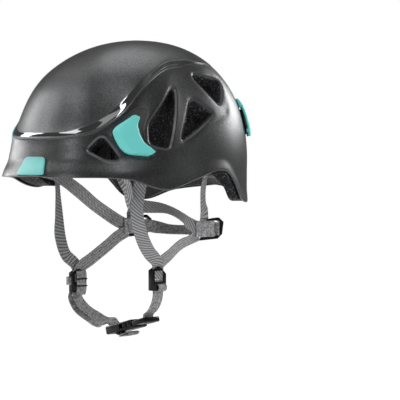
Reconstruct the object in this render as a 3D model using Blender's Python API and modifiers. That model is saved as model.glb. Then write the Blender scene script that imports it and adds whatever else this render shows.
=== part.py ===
import math

import bmesh
import bpy
import numpy as np

# Shell form, in metres
SHELL_HALF_LENGTH = 0.128
SHELL_HALF_WIDTH = 0.106
SHELL_HEIGHT = 0.133
PROFILE_POWER = 2.15
PLAN_POWER = 2.35
FRONT_PLAN_POWER = 2.6
FRONT_SHORTER = 0.0047
SHELL_WALL = 0.0020
CENTRE_BACK_AT_RIM = 0.003
CENTRE_BACK_AT_TOP = 0.017
BROW_PULL_IN = 0.0060
SHOULDER = 0.0013
SHOULDER_WIDTH = 0.006
STEP_HEIGHT = 0.0045
STEP_HEIGHT_REAR = 0.0003
STEP_STARTS = 38.0
STEP_GROWS = 20.0
LIP_HEIGHT = 0.012
LIP_FLARE = 0.0026
COLUMNS = 74
FIT_GAP = 0.0003

# Heights by angle from the front, in degrees and metres
RIM_ANGLES = (0, 17, 37, 52, 58, 67, 72, 80, 94, 109, 114, 120, 131, 140, 155, 180)
RIM_HEIGHTS = (
    -0.0045, -0.006, -0.006, -0.008, -0.0125, -0.0175, -0.0185, -0.0145,
    -0.0065, 0.001, 0.0, -0.009, -0.031, -0.033, -0.022, -0.016,
)
CROWN_ANGLES = (0, 16, 31, 38.5, 46.5, 54, 69, 80, 102, 120, 180)
CROWN_FOOT = (
    0.0345, 0.035, 0.039, 0.0465, 0.059, 0.081, 0.1015, 0.1075, 0.110, 0.108, 0.106,
)
CROWN_EDGE = (
    0.0385, 0.039, 0.047, 0.056, 0.0725, 0.0895, 0.106, 0.1115, 0.1135, 0.111, 0.109,
)
SMOOTHING_ANGLE = 3.0

# Vent corners: angle from the front in degrees, height in metres
VENT_TEMPLE = (
    (31, 0.0225), (35.8, 0.0334), (38.8, 0.0332), (46.9, 0.0138), (45.8, 0.0115), (40.8, 0.0112),
    (32.1, 0.0196),
)
VENT_TALL = (
    (76, 0.0842), (80.4, 0.0828), (73.6, 0.0240), (71.6, 0.0228), (66.9, 0.0243), (61.8, 0.0279),
    (60.9, 0.0460), (62.8, 0.0540),
)
VENT_MIDDLE = (
    (91.0, 0.0766), (107.7, 0.0588), (107.0, 0.0568), (83.6, 0.0310), (81.5, 0.0335),
)
VENT_UPPER = (
    (100.9, 0.0962), (104.0, 0.1005), (126.7, 0.0925), (126.6, 0.0888), (117.0, 0.0686), (114.0, 0.0677),
)
VENT_CORNER_CUT = 0.17
VENT_REACH_IN = 0.048
VENT_REACH_OUT = 0.014
LINER_VENT_SHARE = 0.93

# Head cavity of the liner
FOAM_AT_ENDS = 0.025
FOAM_AT_SIDES = 0.024
FOAM_AT_TOP = 0.026
CAVITY_HALF_LENGTH = SHELL_HALF_LENGTH - FOAM_AT_ENDS
CAVITY_HALF_WIDTH = SHELL_HALF_WIDTH - FOAM_AT_SIDES
CAVITY_HEIGHT = SHELL_HEIGHT - FOAM_AT_TOP
LINER_SET_BACK = 0.22

# Comfort pads and strap anchors on the cavity wall
PAD_THICKNESS = 0.005
WALL_GAP = 0.0005
BROW_PAD = (-38, 38, 0.004, 0.030)
NAPE_PAD = (152, 208, -0.008, 0.016)
CROWN_PAD_RISE = 0.014
ANCHOR_THICKNESS = 0.0030
ANCHOR_FRONT = (42, 77, 0.003, 0.016)
ANCHOR_REAR = (119, 131, 0.010, 0.022)

# Front badge
BADGE_TOP_HALF_ANGLE = 7.0
BADGE_FOOT_HALF_ANGLE = 10.0
BADGE_TOP = 0.0145
BADGE_THICKNESS = 0.0014

# Front lamp clips: pairs of edge points from the upper tip to the lower tip
CLIP_OUTER_EDGE = (
    (51.0, 0.0550), (43.0, 0.0425), (42.2, 0.0385), (47.0, 0.0220), (51.0, 0.0170), (60.0, 0.0150),
)
CLIP_HOOK_EDGE = (
    (54.8, 0.0522), (54.0, 0.0455), (54.8, 0.0390), (57.5, 0.0290), (62.0, 0.0220), (63.5, 0.0193),
)
CLIP_GAP = 0.0045
CLIP_PLATE = 0.0026
CLIP_FOOT_SHARE = 0.30
CLIP_OUTER_LIFT = 0.0046
CLIP_RIDGE_SHARE = 0.16
CLIP_RIDGE = 0.0006
CLIP_HOOK_BEVEL = 0.08

# Rear lamp clips: height, underside and outer face above the shell
REAR_CLIP_ANGLE = 147.0
REAR_CLIP_HALF_ANGLE = 5.6
REAR_CLIP_STATIONS = (
    (0.0730, 0.0003, 0.0024), (0.0690, 0.0003, 0.0041), (0.0650, 0.0003, 0.0049),
    (0.0644, 0.0022, 0.0050), (0.0580, 0.0027, 0.0054), (0.0500, 0.0029, 0.0056),
    (0.0425, 0.0029, 0.0056), (0.0420, 0.0014, 0.0056), (0.0395, 0.0014, 0.0056),
    (0.0390, 0.0028, 0.0055), (0.0350, 0.0026, 0.0050),
)

# Webbing
WEBBING_WIDTH = 0.0135
WEBBING_THICKNESS = 0.0012
WEBBING_STEP = 0.0070
FRONT_STRAP_ANGLES = (60.0, 70.5)
HEADBAND_STRAP_ANGLE = 48.0
HANGER_STRAP_ANGLE = 125.0

# Side sliders
SLIDER_WIDTH = 0.0190
SLIDER_DEPTH = 0.0066
SLIDER_HEIGHT = 0.0240
SLIDER_SLOT_CLEARANCE = 0.0006
SLIDER_WINDOW_WIDTH = 0.0120
SLIDER_WINDOW_HEIGHT = 0.0110
SLIDER_WINDOW_UP = 0.0022
SLIDER_LAYER_GAP = 0.0005
SLIDER_ROOF_FRONT = 0.0040
SLIDER_ROOF_REAR = 0.0085
SLIDER_LEFT_AT = (0.0610, -0.0085, -0.1065)
SLIDER_RIGHT_AT = (-0.0610, -0.0115, -0.1150)

# Nape loops and frames
NAPE_LOOP_LENGTH = 0.026
NAPE_LOOP_HEIGHT = 0.019
NAPE_LOOP_DEPTH = 0.0050
NAPE_FRAME_LENGTH = 0.012
NAPE_FRAME_HEIGHT = 0.022
NAPE_FRAME_DEPTH = 0.0042
NAPE_FRAME_BAR = 0.0028
NAPE_LOOP_AT = (0.0560, 0.0600, -0.0600)
NAPE_BULGE = 0.010
SEAM_GAP = 0.0032

# Chin buckle, along its own axis from the socket end to the tongue end
BUCKLE_AT = (0.027, -0.0090, -0.1545)
BUCKLE_TILT = 14.5
BUCKLE_WIDTH = 0.0220
BUCKLE_DEPTH = 0.0086
SOCKET_START = -0.0340
SOCKET_END = 0.0070
SOCKET_CAVITY_DEPTH = 0.0255
SOCKET_WALL = 0.0017
WINDOW_START = -0.0120
WINDOW_END = 0.0010
ADJUSTER_SLOT = 0.0034
TONGUE_BASE_START = 0.0078
TONGUE_BASE_END = 0.0270
TONGUE_SLOT = 0.0036
GUIDE_WIDTH = 0.0060
GUIDE_LENGTH = 0.0230
PRONG_WIDTH = 0.0026
PRONG_LENGTH = 0.0190
PRONG_GAP = 0.0024
PRONG_TIP_TAPER = 0.0010
PRONG_CATCH = 0.0008
PRONG_CATCH_PLAY = 0.0006
BUTTON_LENGTH = 0.0065
BUTTON_PROUD = 0.0002
TONGUE_THICKNESS = 0.0040


def clear_scene():
    for item in list(bpy.data.objects):
        bpy.data.objects.remove(item, do_unlink=True)


def smooth(value):
    value = np.clip(value, 0.0, 1.0)
    return value * value * (3.0 - 2.0 * value)


def by_angle(angle, angles, heights):
    """A height read from a table by the angle from the front, softened at its corners."""
    turn = np.degrees(np.abs((angle + np.pi) % (2 * np.pi) - np.pi))
    found = 2.0 * np.interp(turn, angles, heights)
    for step in (-SMOOTHING_ANGLE, SMOOTHING_ANGLE):
        shifted = np.abs(turn + step)
        shifted = np.where(shifted > 180, 360 - shifted, shifted)
        found = found + np.interp(shifted, angles, heights)
    return found / 4.0


def rim_height(angle):
    return by_angle(angle, RIM_ANGLES, RIM_HEIGHTS)


def crown_foot(angle):
    return by_angle(angle, CROWN_ANGLES, CROWN_FOOT)


def crown_edge(angle):
    return by_angle(angle, CROWN_ANGLES, CROWN_EDGE)


def dome(angle, height, half_length, half_width, top, back_at_rim, back_at_top):
    """Points and outward directions of a dome of ovals, whose front half is shorter and blunter."""
    sine = np.sin(angle)
    cosine = np.cos(angle)
    power = np.where(cosine > 0, FRONT_PLAN_POWER, PLAN_POWER)
    half_length = np.where(cosine > 0, half_length - FRONT_SHORTER, half_length)
    share = np.clip(height / top, 0.0, 1.0)
    reach = (1.0 - share**PROFILE_POWER) ** (1.0 / PROFILE_POWER)
    plan = (np.abs(sine) / half_width) ** power + (np.abs(cosine) / half_length) ** power
    radius = reach * plan ** (-1.0 / power)
    back = back_at_rim + back_at_top * share**1.3
    points = np.stack([radius * sine, back - radius * cosine, height + 0 * angle], -1)
    side = np.sign(sine) * np.abs(sine) ** (power - 1) / half_width**power
    fore = -np.sign(cosine) * np.abs(cosine) ** (power - 1) / half_length**power
    level = np.hypot(side, fore)
    outward = reach ** (PROFILE_POWER - 1) / half_width
    upward = share ** (PROFILE_POWER - 1) / top
    facing = np.stack([outward * side / level, outward * fore / level, upward + 0 * angle], -1)
    facing = facing / np.linalg.norm(facing, axis=-1, keepdims=True)
    return points, facing


def shell_surface(angle, height, lift=0.0):
    """The shell's outer face, moved out along its own facing by lift."""
    angle = np.asarray(angle, float)
    height = np.asarray(height, float) + 0 * angle
    points, facing = dome(
        angle, height, SHELL_HALF_LENGTH, SHELL_HALF_WIDTH, SHELL_HEIGHT,
        CENTRE_BACK_AT_RIM, CENTRE_BACK_AT_TOP,
    )
    cosine = np.cos(angle)
    turn = np.degrees(np.arccos(np.clip(cosine, -1.0, 1.0)))
    fore = smooth((cosine + 0.25) / 0.9)
    brow = smooth((cosine - 0.2) / 0.7)
    rear = smooth((-cosine - 0.1) / 0.7)
    foot = crown_foot(angle)
    edge = crown_edge(angle)
    above_rim = height - rim_height(angle)
    raised = smooth((height - foot) / (edge - foot))
    step = STEP_HEIGHT * smooth((turn - STEP_STARTS) / STEP_GROWS)
    step = step + (STEP_HEIGHT_REAR - step) * smooth(-cosine / 0.65)
    hollow = smooth((height + 0.008) / 0.022) * (1.0 - smooth((height - 0.044) / 0.058))
    moved = -BROW_PULL_IN * brow * hollow
    brow_lip = smooth((height + 0.004) / 0.026)
    moved = moved - step * (1.0 - raised) * (1.0 - fore * (1.0 - brow_lip))
    moved = moved + SHOULDER * brow * np.exp(-(((height - foot) / SHOULDER_WIDTH) ** 2))
    lip = 1.0 - smooth(above_rim / LIP_HEIGHT)
    moved = moved + LIP_FLARE * (1.0 - fore) * (1.0 - 0.7 * rear) * lip
    return points + facing * (moved + lift)[..., None], facing


def cavity_surface(angle, height, lift=0.0):
    """The liner's inner face, moved in towards the head by lift."""
    angle = np.asarray(angle, float)
    height = np.asarray(height, float) + 0 * angle
    points, facing = dome(
        angle, height, CAVITY_HALF_LENGTH, CAVITY_HALF_WIDTH, CAVITY_HEIGHT,
        CENTRE_BACK_AT_RIM, CENTRE_BACK_AT_TOP * 0.8,
    )
    return points - facing * np.asarray(lift, float)[..., None], facing


def collection_of(name, hidden=False):
    found = bpy.data.collections.new(name)
    bpy.context.scene.collection.children.link(found)
    found.hide_render = hidden
    return found


def paint(name, colour, roughness):
    material = bpy.data.materials.new(name)
    material.use_nodes = True
    shader = material.node_tree.nodes["Principled BSDF"]
    shader.inputs["Base Color"].default_value = (*colour, 1.0)
    shader.inputs["Roughness"].default_value = roughness
    return material


def add_object(name, mesh, collection, material, origin=(0, 0, 0)):
    item = bpy.data.objects.new(name, mesh)
    item.location = origin
    collection.objects.link(item)
    if material:
        mesh.materials.append(material)
    return item


def closed_mesh(name, points, faces, origin=(0, 0, 0)):
    """A mesh with its doubled points joined and its faces turned outwards."""
    mesh = bpy.data.meshes.new(name)
    local = np.asarray(points, float).reshape(-1, 3) - np.asarray(origin, float)
    mesh.from_pydata(local.tolist(), [], faces)
    build = bmesh.new()
    build.from_mesh(mesh)
    bmesh.ops.remove_doubles(build, verts=build.verts, dist=1e-6)
    bmesh.ops.dissolve_degenerate(build, edges=build.edges, dist=1e-7)
    bmesh.ops.recalc_face_normals(build, faces=build.faces)
    build.to_mesh(mesh)
    build.free()
    return mesh


def grid_faces(rows, columns, start, around):
    faces = []
    last = columns if around else columns - 1
    for row in range(rows - 1):
        for column in range(last):
            after = (column + 1) % columns
            first = start + row * columns
            faces.append((first + column, first + after, first + columns + after))
            faces.append((first + column, first + columns + after, first + columns + column))
    return faces


def layered(name, outer, inner, around, origin=(0, 0, 0)):
    """A closed body between two grids of the same size, joined along their edges."""
    rows, columns = outer.shape[:2]
    count = rows * columns
    faces = grid_faces(rows, columns, 0, around)
    faces += [face[::-1] for face in grid_faces(rows, columns, count, around)]
    last = columns if around else columns - 1
    for row in (0, rows - 1):
        for column in range(last):
            first = row * columns + column
            after = row * columns + (column + 1) % columns
            faces.append((first, after, count + after, count + first))
    if not around:
        for column in (0, columns - 1):
            for row in range(rows - 1):
                first = row * columns + column
                after = first + columns
                faces.append((first, after, count + after, count + first))
    points = np.concatenate([outer.reshape(-1, 3), inner.reshape(-1, 3)])
    return closed_mesh(name, points, faces, origin)


def carried(name, sections, origin=(0, 0, 0)):
    """A closed body through a row of sections with the same number of corners."""
    stations, corners = sections.shape[:2]
    faces = grid_faces(stations, corners, 0, True)
    faces.append(tuple(range(corners)))
    last = (stations - 1) * corners
    faces.append(tuple(range(last, last + corners)))
    return closed_mesh(name, sections.reshape(-1, 3), faces, origin)


def slopes_at(places, points):
    """Slopes at the given points of a curve that never swings past them."""
    steps = np.diff(places)[:, None]
    rates = np.diff(points, axis=0) / steps
    before = rates[:-1]
    after = rates[1:]
    same = before * after > 0
    total = np.where(same, before + after, 1.0)
    middle = np.where(same, 2.0 * before * after / total, 0.0)
    return np.concatenate([rates[:1], middle, rates[-1:]])


def curve_at(places, points, wanted):
    """Points of that curve at the wanted places."""
    points = np.asarray(points, float)
    slopes = slopes_at(places, points)
    index = np.clip(np.searchsorted(places, wanted, side="right") - 1, 0, len(places) - 2)
    span = (places[index + 1] - places[index])[:, None]
    part = (wanted - places[index])[:, None] / span
    rest = 1.0 - part
    found = points[index] * rest**2 * (1 + 2 * part) + points[index + 1] * part**2 * (3 - 2 * part)
    return found + span * part * rest * (slopes[index] * rest - slopes[index + 1] * part)


def lengths_along(points):
    steps = np.linalg.norm(np.diff(np.asarray(points, float), axis=0), axis=1)
    return np.concatenate([[0.0], np.cumsum(steps)])


def spline(points, count):
    """Evenly stepped points on a smooth curve through the given ones."""
    places = np.arange(len(points), dtype=float)
    return curve_at(places, points, np.linspace(0, len(points) - 1, count))


def webbing(name, route, sides, width=WEBBING_WIDTH, thickness=WEBBING_THICKNESS):
    """A flat strap along a route, with the direction of its width given at each point."""
    places = lengths_along(route)
    wanted = [places[:1]]
    for first, last in zip(places[:-1], places[1:]):
        pieces = max(1, math.ceil((last - first) / WEBBING_STEP))
        wanted.append(np.linspace(first, last, pieces + 1)[1:])
    wanted = np.concatenate(wanted)
    nudge = 0.0002
    middle = curve_at(places, route, wanted)
    across = curve_at(places, sides, wanted)
    ahead = curve_at(places, route, np.minimum(wanted + nudge, places[-1]))
    behind = curve_at(places, route, np.maximum(wanted - nudge, 0.0))
    along = ahead - behind
    along = along / np.linalg.norm(along, axis=1, keepdims=True)
    across = across - along * (across * along).sum(1, keepdims=True)
    across = across / np.linalg.norm(across, axis=1, keepdims=True)
    normal = np.cross(along, across)
    left = middle + across * width / 2
    right = middle - across * width / 2
    outer = np.stack([left, right], 1) + normal[:, None] * thickness / 2
    inner = np.stack([left, right], 1) - normal[:, None] * thickness / 2
    return layered(name, outer, inner, False)


def box_mesh(name, low, high):
    low = np.asarray(low, float)
    high = np.asarray(high, float)
    corners = [(x, y, z) for z in (0, 1) for y in (0, 1) for x in (0, 1)]
    points = [low + (high - low) * corner for corner in corners]
    faces = [(0, 2, 3, 1), (4, 5, 7, 6), (0, 1, 5, 4), (2, 6, 7, 3), (0, 4, 6, 2), (1, 3, 7, 5)]
    return closed_mesh(name, points, faces)


def bevelled(item, width, segments=2):
    change = item.modifiers.new("Rounded edges", "BEVEL")
    change.width = width
    change.segments = segments
    change.limit_method = "ANGLE"
    change.angle_limit = math.radians(40)


def cut(item, cutter, operation="DIFFERENCE"):
    change = item.modifiers.new("Cut " + cutter.name, "BOOLEAN")
    change.operation = operation
    change.solver = "EXACT"
    change.object = cutter


def rounded(corners):
    """Corner points with each corner cut twice, so that the outline turns softly."""
    corners = np.asarray(corners, float)
    following = np.roll(corners, -1, axis=0)
    step = (following - corners) * VENT_CORNER_CUT
    both = np.stack([corners + step, following - step], 1)
    return both.reshape(-1, 2)


clear_scene()
parts = collection_of("Climbing helmet")
cutters = collection_of("Cutters", hidden=True)
shell_paint = paint("Shell plastic", (0.075, 0.078, 0.082), 0.38)
teal_paint = paint("Teal plastic", (0.13, 0.60, 0.56), 0.45)
foam_paint = paint("Black foam", (0.012, 0.012, 0.013), 0.7)
pad_paint = paint("Pad cloth", (0.03, 0.03, 0.033), 0.9)
web_paint = paint("Grey webbing", (0.20, 0.20, 0.205), 0.85)
black_paint = paint("Black plastic", (0.014, 0.014, 0.015), 0.35)


def add_cutter(name, mesh):
    item = add_object(name, mesh, cutters, None)
    item.hide_render = True
    item.display_type = "WIRE"
    return item


# Shell rows follow the rim, the lip, the foot of the crown panel and its edge
turns = np.linspace(-np.pi, np.pi, COLUMNS, endpoint=False)
rim = rim_height(turns)
foot = crown_foot(turns)
edge = crown_edge(turns)
lip = rim + LIP_HEIGHT
row_heights = [rim, rim + LIP_HEIGHT * 0.5, lip]
row_heights += [lip + (foot - lip) * share for share in (0.22, 0.46, 0.72, 1.0)]
row_heights += [edge]
rise = np.sin(np.array([0.2, 0.42, 0.62, 0.8, 0.92, 1.0]) * np.pi / 2)
row_heights += [edge + (SHELL_HEIGHT - edge) * share for share in rise]
row_heights = np.array(row_heights)
row_turns = np.broadcast_to(turns, row_heights.shape)


def shell_layer(lift):
    points = shell_surface(row_turns, row_heights, np.full(row_heights.shape, lift))[0]
    points[-1] = points[-1].mean(axis=0)
    return points


outer_face = shell_layer(0.0)
inner_face = shell_layer(-SHELL_WALL)
shell = add_object("outer_shell", layered("outer_shell", outer_face, inner_face, True), parts, shell_paint)

# Liner between the shell and the head cavity
liner_face = shell_layer(-SHELL_WALL - WALL_GAP)
liner_face[0] = liner_face[0] + (liner_face[1] - liner_face[0]) * LINER_SET_BACK
start_height = liner_face[0][:, 2]
shares = np.sin(np.linspace(0, 1, len(row_heights)) * np.pi / 2)
cavity_heights = start_height + (CAVITY_HEIGHT - start_height) * shares[:, None]
cavity_face = cavity_surface(row_turns, cavity_heights, np.zeros(row_heights.shape))[0]
cavity_face[-1] = cavity_face[-1].mean(axis=0)
liner = add_object("foam_liner", layered("foam_liner", liner_face, cavity_face, True), parts, foam_paint)


def vent_cutter(name, corners, side, share):
    outline = rounded(corners)
    middle = outline.mean(axis=0)
    outline = middle + (outline - middle) * share
    places = shell_surface(np.radians(outline[:, 0]) * side, outline[:, 1])[0]
    facing = shell_surface(np.radians(middle[:1]) * side, middle[1:])[1][0]
    sections = np.stack([places - facing * VENT_REACH_IN, places + facing * VENT_REACH_OUT])
    return add_cutter(name, carried(name, sections))


vents = {"temple": VENT_TEMPLE, "tall": VENT_TALL, "middle": VENT_MIDDLE, "upper": VENT_UPPER}
for side, hand in ((1, "left"), (-1, "right")):
    for vent, corners in vents.items():
        cut(shell, vent_cutter(f"shell vent {vent} {hand}", corners, side, 1.0))
        cut(liner, vent_cutter(f"liner vent {vent} {hand}", corners, side, LINER_VENT_SHARE))


def wall_patch(name, span, thickness, material, columns, rows):
    """A curved plate that lies on the cavity wall."""
    angles = np.radians(np.linspace(span[0], span[1], columns))
    heights = np.linspace(span[2], span[3], rows)
    angle, height = np.meshgrid(angles, heights)
    near = cavity_surface(angle, height, np.full(angle.shape, WALL_GAP))[0]
    far = cavity_surface(angle, height, np.full(angle.shape, WALL_GAP + thickness))[0]
    item = add_object(name, layered(name, near, far, False), parts, material)
    return item


wall_patch("brow_pad", BROW_PAD, PAD_THICKNESS, pad_paint, 13, 4)
wall_patch("nape_pad", NAPE_PAD, PAD_THICKNESS, pad_paint, 10, 4)
pad_turns = np.linspace(-np.pi, np.pi, 28, endpoint=False)
pad_shares = np.sin(np.array([0.0, 0.3, 0.6, 0.85, 1.0]) * np.pi / 2)
pad_heights = CAVITY_HEIGHT - CROWN_PAD_RISE * (1.0 - pad_shares)
pad_angle, pad_height = np.meshgrid(pad_turns, pad_heights)
pad_near = cavity_surface(pad_angle, pad_height, np.full(pad_angle.shape, WALL_GAP))[0]
pad_far = cavity_surface(pad_angle, pad_height, np.full(pad_angle.shape, WALL_GAP + PAD_THICKNESS))[0]
pad_near[-1] = pad_near[-1].mean(axis=0)
pad_far[-1] = pad_far[-1].mean(axis=0)
add_object("crown_pad", layered("crown_pad", pad_near, pad_far, True), parts, pad_paint)


def on_side(span, side):
    if side > 0:
        return span
    return (-span[1], -span[0], span[2], span[3])


for side, hand in ((1, "left"), (-1, "right")):
    wall_patch("anchor_front_" + hand, on_side(ANCHOR_FRONT, side), ANCHOR_THICKNESS, black_paint, 4, 2)
    wall_patch("anchor_rear_" + hand, on_side(ANCHOR_REAR, side), ANCHOR_THICKNESS, black_paint, 3, 2)

# Badge on the brim, with its foot just above the rim
badge_shares = np.linspace(-1, 1, 9)
badge_rows = np.linspace(0, 1, 6)
across, upward = np.meshgrid(badge_shares, badge_rows)
half_angle = BADGE_FOOT_HALF_ANGLE + (BADGE_TOP_HALF_ANGLE - BADGE_FOOT_HALF_ANGLE) * upward
badge_angle = np.radians(half_angle * across)
badge_foot = rim_height(badge_angle) + 0.0010
badge_height = badge_foot + (BADGE_TOP - badge_foot) * upward
badge_near = shell_surface(badge_angle, badge_height, np.full(badge_angle.shape, 2 * FIT_GAP))[0]
badge_lift = np.full(badge_angle.shape, 2 * FIT_GAP + BADGE_THICKNESS)
badge_far = shell_surface(badge_angle, badge_height, badge_lift)[0]
add_object("brow_badge", layered("brow_badge", badge_near, badge_far, False), parts, teal_paint)


def front_clip(name, side):
    outer = spline(CLIP_OUTER_EDGE, 13)
    hook = spline(CLIP_HOOK_EDGE, 13)
    top = CLIP_GAP + CLIP_PLATE
    profile = (
        (0.0, 2 * FIT_GAP), (CLIP_FOOT_SHARE, 2 * FIT_GAP), (CLIP_FOOT_SHARE + 0.05, CLIP_GAP),
        (1.0, CLIP_GAP), (1.0, top - CLIP_RIDGE), (1.0 - CLIP_HOOK_BEVEL, top),
        (CLIP_RIDGE_SHARE, top + CLIP_RIDGE), (0.0, CLIP_OUTER_LIFT),
    )
    sections = []
    for share, lift in profile:
        place = outer + (hook - outer) * share
        angle = np.radians(place[:, 0]) * side
        sections.append(shell_surface(angle, place[:, 1], np.full(angle.shape, lift))[0])
    ends = np.array([CLIP_OUTER_EDGE[2], CLIP_OUTER_EDGE[3]])
    axis_points = shell_surface(np.radians(ends[:, 0]) * side, ends[:, 1], np.full(2, FIT_GAP))[0]
    origin = axis_points.mean(axis=0)
    return add_object(name, carried(name, np.stack(sections, 1), origin), parts, teal_paint, origin)


def rear_clip(name, side):
    stations = np.array(REAR_CLIP_STATIONS)
    sections = []
    spans = ((-1, 1), (0, 1), (1, 1), (1, 2), (0, 2), (-1, 2))
    for share, level in spans:
        angle = np.radians(REAR_CLIP_ANGLE + REAR_CLIP_HALF_ANGLE * share) * side
        angle = np.full(len(stations), angle)
        sections.append(shell_surface(angle, stations[:, 0], stations[:, level])[0])
    turn = np.radians(REAR_CLIP_ANGLE) * side
    origin = shell_surface(np.array([turn]), stations[:1, 0], np.array([FIT_GAP]))[0][0]
    return add_object(name, carried(name, np.stack(sections, 1), origin), parts, teal_paint, origin)


for side, hand in ((1, "left"), (-1, "right")):
    front_clip("lamp_clip_front_" + hand, side)
    rear_clip("lamp_clip_rear_" + hand, side)


def slider(name, at):
    """A sleeve with a slot for two layers of webbing, a roof that falls to its front and
    rear, and a window in each broad face."""
    middle = np.array(at)
    half = np.array([SLIDER_DEPTH, SLIDER_WIDTH, SLIDER_HEIGHT]) / 2
    item = add_object(name, box_mesh(name, -half, half), parts, black_paint, at)
    bevelled(item, 0.0009)
    slot_depth = 2 * WEBBING_THICKNESS + SLIDER_LAYER_GAP + SLIDER_SLOT_CLEARANCE
    slot = np.array([slot_depth, WEBBING_WIDTH + SLIDER_SLOT_CLEARANCE, SLIDER_HEIGHT * 1.5]) / 2
    cut(item, add_cutter(name + " slot", box_mesh(name + " slot", middle - slot, middle + slot)))
    for end, drop in ((-1, SLIDER_ROOF_FRONT), (1, SLIDER_ROOF_REAR)):
        level = half[2] + drop * 0.2
        edge = half[1] * 1.2
        low = level - drop * 1.4
        corner = np.array([(0.0, 0.0, level), (0.0, end * edge, level), (0.0, end * edge, low)])
        thick = np.array([SLIDER_DEPTH, 0.0, 0.0])
        wedge = carried(f"{name} roof {end}", np.stack([corner - thick, corner + thick]) + middle)
        cut(item, add_cutter(f"{name} roof {end}", wedge))
    window = np.array([SLIDER_DEPTH * 1.5, SLIDER_WINDOW_WIDTH, SLIDER_WINDOW_HEIGHT]) / 2
    middle[2] += SLIDER_WINDOW_UP
    cut(item, add_cutter(name + " window", box_mesh(name + " window", middle - window, middle + window)))
    return item


slider("slider_left", SLIDER_LEFT_AT)
slider("slider_right", SLIDER_RIGHT_AT)
layer = (WEBBING_THICKNESS + SLIDER_LAYER_GAP) / 2


def strap_start(angle, side, height):
    """The top of a strap, just under its anchor."""
    turn = np.array([math.radians(angle) * side])
    lift = np.array([WALL_GAP + ANCHOR_THICKNESS / 2])
    return tuple(cavity_surface(turn, np.array([height]), lift)[0][0])


def add_webbing(name, route, sides):
    return add_object(name, webbing(name, route, sides), parts, web_paint)


def along_wall(angle, side):
    """The level direction of the cavity wall at an angle, pointing to the rear."""
    turn = np.array([math.radians(angle) * side])
    facing = cavity_surface(turn, np.zeros(1), np.zeros(1))[1][0]
    return (-facing[1] * side, facing[0] * side, 0.0)


fore_aft = (0.0, 1.0, 0.0)
upright = (0.0, 0.0, 1.0)
bends = {
    "left": (
        (0.0105, -0.0360, 0.068), (0.0075, -0.0275, 0.044), (0.0030, -0.0125, 0.0255),
    ),
    "right": (
        (0.0105, -0.0160, 0.068), (0.0075, -0.0165, 0.044), (0.0030, -0.0125, 0.0265),
    ),
}
# The direction of the front straps' width at each bend
bend_sides = {
    "left": ((0.35, 0.94, 0.0), (0.35, 0.94, 0.0), (0.15, 0.98, 0.0)),
    "right": ((-0.20, 0.98, 0.0), (0.10, 0.99, 0.0), (0.10, 0.99, 0.0)),
}
# Headband bends: in from the side of the head cavity, back and up
headband_bends = {
    "left": (
        (0.0145, -0.0575, -0.012), (0.0155, -0.0545, -0.025), (0.0160, -0.0440, -0.033),
        (0.0165, -0.0290, -0.0345), (0.0180, 0.0000, -0.0375), (0.0215, 0.0250, -0.0465),
    ),
    "right": (
        (0.0150, -0.0560, -0.0090), (0.0155, -0.0400, -0.0075), (0.0155, -0.0235, -0.0115),
        (0.0155, -0.0060, -0.0215), (0.0170, 0.0146, -0.0365), (0.0205, 0.0310, -0.0475),
    ),
}
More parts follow.
